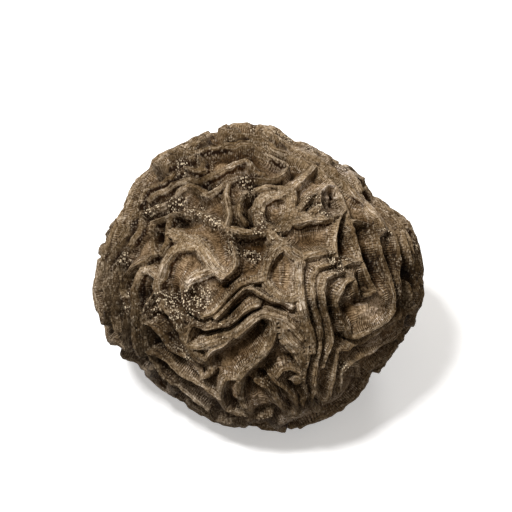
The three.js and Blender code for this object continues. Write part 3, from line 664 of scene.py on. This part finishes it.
class Relief:
    """How far the surface lies below the ridge tops, from its ridges, creases and borings."""

    def __init__(self, ridges, valley_depth, crease_depth):
        fine = [even_line(line, CREST_SAMPLE) for line in ridges.lines]
        high = [(line, width) for line, width, drop in zip(fine, ridges.widths, ridges.drops) if drop == 0]
        low = [line for line, drop in zip(fine, ridges.drops) if drop > 0]
        creases = [even_line(directions_at(pixels, FLOOR_DOWN), CREASE_SAMPLE) for pixels in CREVICES]
        self.crest_tree = tree_of(np.vstack([line for line, _ in high]))
        self.crest_widths = np.concatenate([np.full(len(line), width) for line, width in high])
        self.low_tree = tree_of(np.vstack(low))
        self.crease_tree = tree_of(np.vstack(creases))
        self.pits = [(directions_at(pixel, FLOOR_DOWN)[0], radius, depth) for pixel, radius, depth in PITS]
        self.valley_depth = valley_depth
        self.crease_depth = crease_depth

    def wall(self, gaps):
        """Drop from a crest at distances from it: a broad top, a steep flank, a flat floor."""
        share = np.clip((gaps - CREST_HALF) / FLANK, 0, 1)
        return self.valley_depth * np.sin(share * math.pi / 2) ** WALL_CURVE

    def crease(self, directions):
        """Nearness to a deep crease, from 0 to 1."""
        return np.clip(1 - gaps_to(self.crease_tree, directions) / CREVICE_HALF, 0, 1)

    def boring(self, directions):
        """Nearness to the middle of a boring, from 0 to 1, and its depth there."""
        share = np.zeros(len(directions))
        depth = np.zeros(len(directions))
        for middle, radius, pit_depth in self.pits:
            inside = np.clip(1 - (np.linalg.norm(directions - middle, axis=1) * ROUND / radius) ** 2, 0, 1)
            share = np.maximum(share, inside)
            depth = np.maximum(depth, pit_depth * inside)
        return share, depth

    def crest_gaps(self, directions):
        """Distances from the nearest crest's broad top, and how far each place lies on the lee."""
        found = [self.crest_tree.find(direction) for direction in directions]
        nearest = np.array([place for place, _, _ in found])
        widths = self.crest_widths[[index for _, index, _ in found]]
        gaps = np.array([gap for _, _, gap in found]) * ROUND
        widths = widths * (1 + noise_at(nearest, WIDTH_WAVES))
        lee = np.clip((directions - nearest) @ LEAN * ROUND / np.maximum(gaps, LEAST_GAP), -1, 1)
        return np.maximum(gaps - widths, 0), lee

    def depth(self, directions):
        """Depth in millimetres below the ridge tops."""
        gaps, lee = self.crest_gaps(directions)
        high = self.wall(gaps * (1 + LEANING * lee))
        low = LOW_CREST + self.wall(gaps_to(self.low_tree, directions))
        depth = np.minimum(high, low) * (1 - SWELLING * np.clip(swell_strength(directions), -1, 1))
        depth += self.crease_depth * self.crease(directions)
        return np.maximum(depth, self.boring(directions)[1])


class Columns:
    """Columns of vertices, one for each radial plate and one for each furrow between two.

    Each has a start on a crest, the way it runs down, a number, and an offset that is added to
    distances from the crest: how far a low crest is sunk, less half of a broad top.
    """

    def __init__(self, ridges, pitch):
        starts = []
        ways = []
        numbers = []
        offsets = []
        count = 0
        for line, drop, width in zip(ridges.lines, ridges.drops, ridges.widths):
            line = even_line(line, pitch / 2)
            along = unit(np.gradient(line, axis=0))
            sideways = np.cross(line, along)
            number = count + np.arange(len(line))
            before = sum(len(start) for start in starts)
            for way in (sideways, -sideways):
                starts.append(line)
                ways.append(way)
                numbers.append(number)
            for end, outward in ((0, -along[0]), (-1, along[-1])):
                for turn in range(-FAN_TURNS, FAN_TURNS + 1):
                    angle = math.radians(FAN_STEP * turn)
                    starts.append(line[end:][:1])
                    ways.append((outward * math.cos(angle) + sideways[end] * math.sin(angle))[None])
                    numbers.append(np.array([number[end] + turn]))
            count += len(line) + len(line) % 2
            added = sum(len(start) for start in starts) - before
            offsets.append(np.full(added, drop - width))
        self.starts = np.vstack(starts)
        self.ways = np.vstack(ways)
        self.numbers = np.concatenate(numbers)
        self.offsets = np.concatenate(offsets)

    def at(self, gap, chosen):
        """Directions of the chosen columns at a distance from their crest."""
        return unit(self.starts[chosen] + self.ways[chosen] * gap / ROUND)


class Skin:
    """Every vertex of the colony's surface, in columns that run down from the crests."""

    def __init__(self, sizes):
        ridges = Ridges()
        self.relief = Relief(ridges, sizes.valley_depth / MM, sizes.crease_depth / MM)
        self.columns = Columns(ridges, sizes.septa_pitch / MM)
        self.rise = sizes.septa_rise / MM
        self.gather_rows()
        self.raise_surface()
        self.add_rim()

    def gather_rows(self):
        """Walks every column down from its crest until another crest is nearer."""
        tree = tree_of(self.columns.starts)
        alive = np.arange(len(self.columns.starts))
        places = [self.columns.at(0, alive)]
        owners = [alive]
        gaps = [np.zeros(len(alive))]
        for gap in ROW_GAPS:
            reached = self.columns.at(gap, alive)
            clear = gaps_to(tree, reached) > gap - NEARER_BY
            alive = alive[clear]
            places.append(reached[clear])
            owners.append(alive)
            gaps.append(np.full(len(alive), gap))
        places = np.vstack(places)
        cells = np.floor(places * ROUND / CROWDED).astype(int)
        first = np.sort(np.unique(cells, axis=0, return_index=True)[1])
        owners = np.concatenate(owners)[first]
        self.directions = places[first]
        self.numbers = self.columns.numbers[owners]
        self.gaps = np.concatenate(gaps)[first] + self.columns.offsets[owners]

    def raise_surface(self):
        """Gives every vertex its radius: dome, valley, septum, and the unevenness of growth."""
        depth = self.relief.depth(self.directions)
        scrambled = np.abs(np.sin(self.numbers // 2 * SCRAMBLE_TURN) * SCRAMBLE_SPREAD)
        strength = PLATE_LEAST + PLATE_SPREAD * np.modf(scrambled)[0]
        fade = np.interp(self.gaps, PLATE_GAPS, PLATE_FADES)
        septum = np.where(self.numbers % 2 == 0, 0.5, -0.5) * self.rise * strength * fade
        fold = FOLD_LEVEL - np.abs(noise_at(self.directions, FOLD_WAVES))
        wrinkle = FOLD_LEVEL - np.abs(noise_at(self.directions, WRINKLE_WAVES))
        unevenness = BROAD_HEIGHT * noise_at(self.directions, BROAD_WAVES)
        unevenness = unevenness + FOLD_HEIGHT * fold + WRINKLE_HEIGHT * wrinkle
        self.radii = dome_radius(self.directions) - depth + septum + unevenness
        self.lies = depth / self.relief.valley_depth + self.relief.boring(self.directions)[0]
        above = height_above_cut(self.directions, self.radii) > RIM_CLEAR
        for name in ("directions", "numbers", "gaps", "radii", "lies"):
            setattr(self, name, getattr(self, name)[above])

    def lees(self):
        """How far each vertex lies on the side that its ridge leans to, from -1 to 1."""
        return self.relief.crest_gaps(self.directions)[1]

    def add_rim(self):
        """Adds the rim of the flat cut, where the surface comes down to the floor."""
        turns = np.arange(round(2 * math.pi * CUT_RADIUS / RIM_STEP)) * RIM_STEP / CUT_RADIUS
        above = np.full(len(turns), math.pi / 2)
        below = np.full(len(turns), LOWEST_RIM)

        def around(polar):
            across = np.sin(polar)
            return np.stack([across * np.cos(turns), across * np.sin(turns), np.cos(polar)], axis=1)

        for _ in range(RIM_HALVINGS):
            middle = (above + below) / 2
            places = around(middle)
            is_above = height_above_cut(places, dome_radius(places) - self.relief.depth(places)) > 0
            above = np.where(is_above, middle, above)
            below = np.where(is_above, below, middle)
        rim = around(above)
        self.rim = np.arange(len(rim)) + len(self.directions)
        self.directions = np.vstack([self.directions, rim])
        self.numbers = np.concatenate([self.numbers, np.zeros(len(rim), int)])
        self.gaps = np.concatenate([self.gaps, np.zeros(len(rim))])
        self.radii = np.concatenate([self.radii, -CUT_BELOW / rim[:, 2]])
        self.lies = np.concatenate([self.lies, np.full(len(rim), RIM_LIE)])

    def triangles(self):
        """Neighbouring vertices joined in threes, worked out on the dome spread flat from below."""
        flat = self.directions[:, :2] / (1 + self.directions[:, 2:])
        spread = [Vector(point) for point in flat]
        rim = self.rim.tolist()
        _, _, faces, sources, _, _ = delaunay_2d_cdt(spread, [], [rim], INSIDE_RIM, WELD_WITHIN, True)
        return [[sources[corner][0] for corner in face] for face in faces]

    def points(self):
        """Vertex positions in metres."""
        positions = self.directions * self.radii[:, None] + (0, 0, CUT_BELOW)
        return positions * MM


class Wire:
    """A shader value that Python's operators calculate with; each expression adds its nodes."""

    def __init__(self, tree, socket=None):
        self.tree = tree
        self.socket = socket

    def node(self, kind, settings=None, sockets=None, output=0):
        """Adds any node: its settings first, then the values or links of its sockets."""
        made = self.tree.nodes.new(kind)
        for name, value in (settings or {}).items():
            setattr(made, name, value)
        for name, value in (sockets or {}).items():
            socket = made.inputs[name]
            if isinstance(value, Wire):
                self.tree.links.new(value.socket, socket)
            else:
                socket.default_value = value
        return Wire(self.tree, made.outputs[output]) if made.outputs else made

    def twin(self, output):
        """Another output of the node that this value comes from."""
        return Wire(self.tree, self.socket.node.outputs[output])

    def math(self, operation, first, second=0.0):
        """One Math node."""
        return self.node("ShaderNodeMath", {"operation": operation}, {0: first, 1: second})

    def __add__(self, other):
        return self.math("ADD", self, other)

    def __radd__(self, other):
        return self.math("ADD", other, self)

    def __sub__(self, other):
        return self.math("SUBTRACT", self, other)

    def __rsub__(self, other):
        return self.math("SUBTRACT", other, self)

    def __mul__(self, other):
        return self.math("MULTIPLY", self, other)

    def __rmul__(self, other):
        return self.math("MULTIPLY", other, self)

    def __pow__(self, other):
        return self.math("POWER", self, other)

    def __rpow__(self, other):
        return self.math("POWER", other, self)

    def ramp(self, low, high):
        """A smooth step from 0 at low to 1 at high."""
        return self.node(
            "ShaderNodeMapRange", {"interpolation_type": "SMOOTHSTEP"},
            {"Value": self, "From Min": low, "From Max": high})

    def mixed(self, first, second):
        """A colour between two, by this value from 0 to 1."""
        return self.node(
            "ShaderNodeMix", {"data_type": "RGBA", "clamp_factor": True},
            {"Factor": self, "A": first, "B": second}, output=2)


def colour4(colour):
    """A colour with full opacity."""
    return (*colour, 1.0)


class CoralShader:
    """The dry coral's material, laid on in layers over its ground colours."""

    def __init__(self, finish):
        self.shade = {name: colour4(getattr(finish, name)) for name in finish.__annotations__}
        self.material = bpy.data.materials.new("dry_coral")
        self.material.use_nodes = True
        tree = self.material.node_tree
        tree.nodes.clear()
        self.wire = Wire(tree)
        self.read_mesh()
        self.sow_noise()
        self.lay_ground()
        self.draw_lines()
        self.vary_tone()
        self.strew_grains()
        self.saw_underside()
        self.finish_surface()

    def attribute(self, name, output="Fac"):
        """What every vertex carries under a name."""
        return self.wire.node("ShaderNodeAttribute", {"attribute_name": name}, output=output)

    def lay(self, share, name):
        """Covers a share of the colour with one of the finish's colours."""
        self.colour = share.mixed(self.colour, self.shade[name])

    def greater(self, first, second):
        """The greater of two values."""
        return self.wire.math("MAXIMUM", first, second)

    def read_mesh(self):
        """Where a point lies on the object, below its crest and in the soft patches."""
        self.place = self.wire.node("ShaderNodeTexCoord", output="Object")
        self.height = self.wire.node("ShaderNodeSeparateXYZ", None, {"Vector": self.place}, output="Z")
        septa = self.attribute("septa", "Vector")
        self.number = self.wire.node("ShaderNodeSeparateXYZ", None, {"Vector": septa}, output="X")
        self.gap = self.number.twin("Y")
        self.lee = self.number.twin("Z")
        self.lie = self.attribute("lie")
        self.tone = self.attribute("tone")
        self.glitter = self.attribute("glitter")
        self.film_and_sheen = self.attribute("film_and_sheen")

    def cloud(self, scale, detail, rough=0.5):
        """Smooth noise in the object's space."""
        return self.wire.node(
            "ShaderNodeTexNoise", None,
            {"Vector": self.place, "Scale": scale, "Detail": detail, "Roughness": rough})

    def drawn_noise(self, along, down, scale, detail, rough):
        """Smooth noise along the ridges and down their flanks."""
        lane = self.wire.node("ShaderNodeCombineXYZ", None, {"X": along, "Y": down})
        return self.wire.node(
            "ShaderNodeTexNoise", {"noise_dimensions": "2D"},
            {"Vector": lane, "Scale": scale, "Detail": detail, "Roughness": rough})

    def grains(self, scale):
        """Upright grains: the distance from each one's middle, and a number of its own."""
        upright = self.wire.node(
            "ShaderNodeVectorMath", {"operation": "MULTIPLY"}, {0: self.place, 1: GRAIN_SHAPE})
        distance = self.wire.node(
            "ShaderNodeTexVoronoi", None, {"Vector": upright, "Scale": scale}, output="Distance")
        chance = self.wire.node("ShaderNodeSeparateXYZ", None, {"Vector": distance.twin("Color")})
        return distance, chance

    def sow_noise(self):
        """The clouds, streaks and grains that the layers share."""
        self.patch = self.cloud(PATCH_WAVES, 3)
        self.blotch = self.cloud(BLOTCH_WAVES, 4, 0.65)
        self.grain = self.cloud(GRAIN_WAVES, 3, 0.75)
        self.streak = self.drawn_noise(self.number, self.gap * 0.4, 1.3, 3.0, 0.7)
        self.contour = self.drawn_noise(self.number * 0.06, self.gap * 0.8, 1.0, 2.0, 0.5)
        self.cell, self.luck = self.grains(GRANULES_PER_METRE)
        self.spot, self.grit = self.grains(SPECKS_PER_METRE)
        self.uneven = self.blotch - 0.5

    def lay_ground(self):
        """Tan crests, brown flanks and floors darkened with depth, partly their own brown and partly
        painted shade; rusty stains, swells paled partly as painted light, and the grey film, partly painted
        sheen near the top right rim.
        """
        self.top = 1 - (self.gap + self.uneven * 5).ramp(1.0, 5.0)
        self.raised = self.greater(self.tone, 0.0)
        self.colour = self.top.mixed(self.shade["flank"], self.shade["crest"])
        # Painted shade: the valley floors darken with their depth, over their own darker brown.
        self.lay((self.lie + self.uneven * 0.6).ramp(0.65, 1.1), "floor")
        self.lay(self.patch.ramp(0.52, 0.68) * 0.3, "rust")
        # Painted light in part: the swells pale towards the crest colour.
        self.lay(self.raised.ramp(0.0, 1.6) * 0.4, "crest")
        # A grey film on the left and near the foot, and painted sheen near the top right rim.
        self.lay(self.film_and_sheen * (0.1 + self.patch * 0.7), "film_and_sheen")

    def draw_lines(self):
        """Painted shade: dark furrows between the plates, the shaded side of ridges, thin shadow lines off
        the crests, dark lines along the ridges and the deepest creases; also pale lines along the ridges,
        which are painted highlights.
        """
        # Painted shade in the furrows between the radial plates, where the streak noise lets them show.
        stripe = self.wire.math("PINGPONG", self.number + self.uneven * 0.5, 0.5) * 2
        streaked = self.streak.ramp(0.36, 0.52)
        lined = self.gap.ramp(0.8, 2.0) * (1 - self.gap.ramp(3.5, 8.0) * 0.85) * streaked
        crest_furrow_shade = self.top * self.blotch.ramp(0.4, 0.6) * streaked * 0.4
        furrow = stripe.ramp(0.35, 0.75) * (lined * 0.75 + crest_furrow_shade)
        near = self.gap + self.uneven * 2
        # Painted shade on the lee side of each ridge, and a thin painted shadow line just below the crest.
        shaded = self.lee.ramp(0.1, 0.7) * near.ramp(0.6, 1.8) * (1 - near.ramp(3.0, 5.5)) * 0.5
        lee_line_band = 1 - self.wire.math("ABSOLUTE", near - 1.7).ramp(0.25, 0.8)
        lee_shadow_line = self.lee.ramp(-0.2, 0.3) * lee_line_band * self.patch.ramp(0.4, 0.5)
        banded = 1 - self.gap.ramp(3.0, 6.0)
        # Painted shade: thin dark lines that follow the ridges.
        line = (1 - self.wire.math("ABSOLUTE", self.contour - 0.47).ramp(0.005, 0.035)) * banded * 0.8
        # Painted highlight: a pale line along the ridges.
        ledge = self.contour.ramp(0.5, 0.54) * (1 - self.contour.ramp(0.55, 0.61)) * banded * 0.55
        dark = self.greater(self.greater(furrow, shaded), self.greater(line, lee_shadow_line))
        self.lay(ledge, "edge")
        # All of these take the crease colour as painted shade, as do the deepest creases.
        self.lay(self.greater(dark, self.lie.ramp(1.15, 1.5)), "crease")

    def vary_tone(self):
        """Lighter and darker grains and streaks, and swells paler and hollows darker, partly as painted
        light and shade; what is darker is warmer too.
        """
        speckle = self.luck * 0.25 + self.grit * 0.5 + self.grain.ramp(0.35, 0.65) * 0.25
        streaks = (self.streak - 0.5) * self.gap.ramp(0.8, 2.0) * (2.6 - self.gap.ramp(5.0, 9.0) * 1.2)
        sunken = self.wire.math("MINIMUM", self.tone, 0.0)
        tint = (1 + (speckle - 0.5) * 1.6) * TONE_BASE ** (sunken + self.raised * 0.6 + streaks)
        warmth = self.wire.node(
            "ShaderNodeCombineXYZ", None, {"X": tint, "Y": tint**GREEN_POWER, "Z": tint**BLUE_POWER})
        self.colour = self.wire.node(
            "ShaderNodeMix", {"data_type": "RGBA", "blend_type": "MULTIPLY"},
            {"Factor": 1.0, "A": self.colour, "B": warmth}, output=2)

    def strew_grains(self):
        """Granules on the crests, and painted glints: cream highlights on the septal teeth over darkened
        ground, where the coral glitters.
        """
        open_air = 1 - self.lie.ramp(1.05, 1.4)
        grainy = self.top * open_air * (0.1 + self.blotch.ramp(0.42, 0.62) * 0.5)
        granule = (1 - self.cell.ramp(0.3, 0.55)) * (self.luck * 0.7 + self.grit * 0.3).ramp(0.3, 0.65)
        self.granules = granule * grainy
        self.lay(self.granules, "edge")
        # Painted shade in the gaps between the granules.
        self.lay(grainy * self.cell.ramp(0.5, 0.75) * self.grit.ramp(0.2, 0.6) * 0.8, "crease")
        crowd = self.greater(self.glitter, self.patch.ramp(0.56, 0.72) * 0.3)
        crowd = crowd * open_air * (0.2 + self.blotch.ramp(0.38, 0.56) * 0.8)
        # Painted highlights: cream glints on the teeth and pale halos round them; the ground under them is
        # darkened.
        kernel = 1 - self.spot.ramp(0.3, 0.6)
        self.speck = kernel * (self.grit * 0.8 + crowd.ramp(0.1, 0.7) * 0.45).ramp(0.8, 1.15)
        self.lay(crowd.ramp(0.1, 0.75) * 0.85, "crease")
        self.lay(kernel * crowd.ramp(0.1, 0.6) * self.grit.ramp(0.2, 0.8) * 0.6, "edge")
        self.lay(self.speck, "painted_glint")

    def saw_underside(self):
        """The flat cut: plain tan and brown."""
        cut = 1 - self.height.ramp(SAWN_BELOW, GROWN_ABOVE)
        blend = self.cloud(SAWN_WAVES, 5, 0.7).ramp(0.35, 0.65)
        sawn = blend.mixed(self.shade["flank"], self.shade["crest"])
        self.colour = cut.mixed(self.colour, sawn)

    def finish_surface(self):
        """A dry, rough surface with a fine grain; only the teeth shine a little."""
        relief = self.grain * 0.5 + self.grit * 0.3 + self.granules
        bump = self.wire.node(
            "ShaderNodeBump", None,
            {"Strength": BUMP_STRENGTH, "Distance": BUMP_HEIGHT, "Height": relief})
        shader = self.wire.node(
            "ShaderNodeBsdfPrincipled", None,
            {"Base Color": self.colour, "Roughness": DRY_ROUGHNESS - self.speck * TOOTH_SHINE,
             "Normal": bump, "Specular IOR Level": REFLECTION})
        self.wire.node("ShaderNodeOutputMaterial", None, {"Surface": shader})


class CoralSizes(bpy.types.PropertyGroup):
    """Sizes of the colony's relief."""

    valley_depth: bpy.props.FloatProperty(
        name="Valley depth", description="Valley floor below the ridge tops",
        default=7.0 * MM, min=0, unit="LENGTH", precision=4)
    crease_depth: bpy.props.FloatProperty(
        name="Crease depth", description="How far the deep creases go below the valley floor",
        default=2.6 * MM, min=0, unit="LENGTH", precision=4)
    septa_pitch: bpy.props.FloatProperty(
        name="Septa pitch", description="From one radial plate to the next along a ridge",
        default=1.1 * MM, min=0.5 * MM, unit="LENGTH", precision=5)
    septa_rise: bpy.props.FloatProperty(
        name="Septa rise", description="Height of the radial plates over the furrows between them",
        default=0.42 * MM, min=0, unit="LENGTH", precision=5)


def colour_property(name, description, default):
    """One colour of the finish."""
    return bpy.props.FloatVectorProperty(
        name=name, description=description, subtype="COLOR", default=default)


class CoralFinish(bpy.types.PropertyGroup):
    """Colours of the dry skeleton, and of the painted shade, highlights and sheen laid on it."""

    crest: colour_property("Crest", "Worn tan of the ridge tops", (0.23, 0.156, 0.083))
    flank: colour_property("Flank", "Brown of the ridge sides", (0.143, 0.087, 0.04))
    # Partly the floors' own brown, partly painted shade: it is laid on more where the valleys are deeper.
    floor: colour_property("Floor", "Dark brown of the valley floors", (0.062, 0.032, 0.01))
    # The crease colour is painted shade: it darkens furrows, lee sides, lines along the ridges, the deepest
    # creases and the gaps between granules.
    crease: colour_property("Crease", "Near black of the deep creases", (0.021, 0.0075, 0.001))
    rust: colour_property("Rust", "Orange brown stain", (0.185, 0.117, 0.062))
    # A painted highlight: the cream of glints on the septal teeth.
    painted_glint: colour_property("Tooth", "Cream of the septal teeth", (0.93, 0.77, 0.54))
    # Partly the pale granules of the crests, partly painted highlights: the lines along the ridges and the
    # halos round the glints.
    edge: colour_property("Edge", "Pale lines and granules of the ridge tops", (0.56, 0.45, 0.325))
    # A grey film, and near the top right rim a painted sheen.
    film_and_sheen: colour_property("Film", "Grey film near the foot and the left side", (0.15, 0.132, 0.113))


class CORAL_OT_colony(bpy.types.Operator):
    """Grow the coral colony over its solid"""

    bl_idname = "coral.colony"
    bl_label = "Grow Colony"

    def execute(self, context):
        skin = Skin(context.scene.coral_sizes)
        shape = bmesh.new()
        corners = [shape.verts.new(point) for point in skin.points()]
        for face in skin.triangles():
            shape.faces.new([corners[index] for index in face])
        rim = [edge for edge in shape.edges if edge.is_boundary]
        bmesh.ops.triangle_fill(shape, edges=rim, use_beauty=True)
        bmesh.ops.recalc_face_normals(shape, faces=shape.faces[:])
        if any(not edge.is_manifold for edge in shape.edges):
            raise RuntimeError("the colony's surface is not closed")
        mesh = bpy.data.meshes.new("coral_colony")
        shape.to_mesh(mesh)
        shape.free()
        septa = mesh.attributes.new("septa", "FLOAT_VECTOR", "POINT")
        lengths = np.stack([skin.numbers / 2, skin.gaps, skin.lees()], axis=1)
        septa.data.foreach_set("vector", lengths.astype(np.float32).ravel())
        away = unseen_share(skin.directions)
        drift = noise_at(skin.directions, DRIFT_WAVES)
        sparkle = SPARKLE_GAIN * noise_at(skin.directions, SPARKLE_WAVES, SPARKLE_PHASE) - SPARKLE_LOSS
        glitter = patch_strength(skin.directions, GLITTER_PATCHES)
        shades = {
            "lie": skin.lies,
            # Swells and hollows, partly painted light and shade, and random tone on the sides out of sight.
            "tone": swell_strength(skin.directions) + away * (UNSEEN_TONE + drift),
            # Where painted glints crowd: the listed patches, and noise on the sides out of sight.
            "glitter": glitter + away * np.clip(sparkle, 0, SPARKLE_MOST),
            # Grey film, with painted sheen near the top right rim.
            "film_and_sheen": patch_strength(skin.directions, FILM_AND_SHEEN_PATCHES),
        }
        for name, values in shades.items():
            layer = mesh.attributes.new(name, "FLOAT", "POINT")
            layer.data.foreach_set("value", values.astype(np.float32))
        mesh.materials.append(CoralShader(context.scene.coral_finish).material)
        colony = bpy.data.objects.new("coral_colony", mesh)
        context.scene.collection.objects.link(colony)
        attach(colony, "root")
        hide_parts("brain_coral")
        return {"FINISHED"}


class CORAL_OT_stage(bpy.types.Operator):
    """Set the pale floor, the studio light and the camera"""

    bl_idname = "coral.stage"
    bl_label = "Set Stage"

    def execute(self, context):
        scene = context.scene
        self.lay_floor(scene)
        for name, (place, side, power) in LAMPS.items():
            self.hang_light(scene, name, place, side, power)
        self.set_camera(scene)
        scene.world = self.studio_world()
        scene.view_settings.view_transform = "Standard"
        return {"FINISHED"}

    def studio_world(self):
        """A warm white dome of light, dimmer below the floor."""
        world = bpy.data.worlds.new("studio")
        world.use_nodes = True
        tree = world.node_tree
        tree.nodes.clear()
        wire = Wire(tree)
        toward = wire.node("ShaderNodeTexCoord", output="Generated")
        upward = wire.node("ShaderNodeSeparateXYZ", None, {"Vector": toward}, output="Z")
        strength = SKY_LOW + upward.ramp(*SKY_BAND) * SKY_RISE
        sky = wire.node("ShaderNodeBackground", None, {"Color": SKY_COLOUR, "Strength": strength})
        wire.node("ShaderNodeOutputWorld", None, {"Surface": sky})
        return world

    def lay_floor(self, scene):
        """A wide white floor under the cut."""
        shape = bmesh.new()
        bmesh.ops.create_grid(shape, x_segments=1, y_segments=1, size=FLOOR_HALF)
        mesh = bpy.data.meshes.new("floor")
        shape.to_mesh(mesh)
        shape.free()
        material = bpy.data.materials.new("white_floor")
        material.use_nodes = True
        shader = material.node_tree.nodes["Principled BSDF"]
        shader.inputs["Base Color"].default_value = FLOOR_WHITE
        shader.inputs["Roughness"].default_value = FLOOR_ROUGHNESS
        shader.inputs["Emission Color"].default_value = (1, 1, 1, 1)
        shader.inputs["Emission Strength"].default_value = FLOOR_GLOW
        mesh.materials.append(material)
        floor = bpy.data.objects.new("floor", mesh)
        scene.collection.objects.link(floor)
        floor.visible_diffuse = False

    def hang_light(self, scene, name, place, side, power):
        """A square soft light aimed at the middle of the dome."""
        lamp = bpy.data.lights.new(name, "AREA")
        lamp.size = side
        lamp.energy = power
        light = bpy.data.objects.new(name, lamp)
        light.location = place
        aim = Vector((0, 0, CUT_BELOW * MM)) - light.location
        light.rotation_euler = aim.to_track_quat("-Z", "Y").to_euler()
        scene.collection.objects.link(light)

    def set_camera(self, scene):
        """The photograph's camera: level across, looking down at the colony."""
        lens = bpy.data.cameras.new("photo_camera")
        lens.sensor_width = SENSOR_WIDTH
        lens.lens = FOCAL * lens.sensor_width / PICTURE_SIDE
        lens.clip_start = NEAREST_SEEN
        camera = bpy.data.objects.new("photo_camera", lens)
        camera.location = Vector(EYE * MM) + Vector((0, 0, CUT_BELOW * MM))
        camera.rotation_euler = (math.pi / 2 - SIGHT_TILT, 0, 0)
        scene.collection.objects.link(camera)
        scene.camera = camera


class CORAL_PT_panel(bpy.types.Panel):
    """Sizes, colours and steps of the coral"""

    bl_idname = "CORAL_PT_panel"
    bl_label = "Brain Coral"
    bl_space_type = "VIEW_3D"
    bl_region_type = "UI"
    bl_category = "Coral"

    def draw(self, context):
        for group in (context.scene.coral_sizes, context.scene.coral_finish):
            for name in group.__annotations__:
                self.layout.prop(group, name)
        self.layout.operator(CORAL_OT_colony.bl_idname)
        self.layout.operator(CORAL_OT_stage.bl_idname)


CLASSES = (CoralSizes, CoralFinish, CORAL_OT_colony, CORAL_OT_stage, CORAL_PT_panel)


def register():
    for cls in CLASSES:
        bpy.utils.register_class(cls)
    bpy.types.Scene.coral_sizes = bpy.props.PointerProperty(type=CoralSizes)
    bpy.types.Scene.coral_finish = bpy.props.PointerProperty(type=CoralFinish)


def unregister():
    del bpy.types.Scene.coral_finish
    del bpy.types.Scene.coral_sizes
    for cls in reversed(CLASSES):
        bpy.utils.unregister_class(cls)


def main():
    register()
    bpy.ops.coral.colony()
    bpy.ops.coral.stage()


if __name__ == "__main__":
    main()
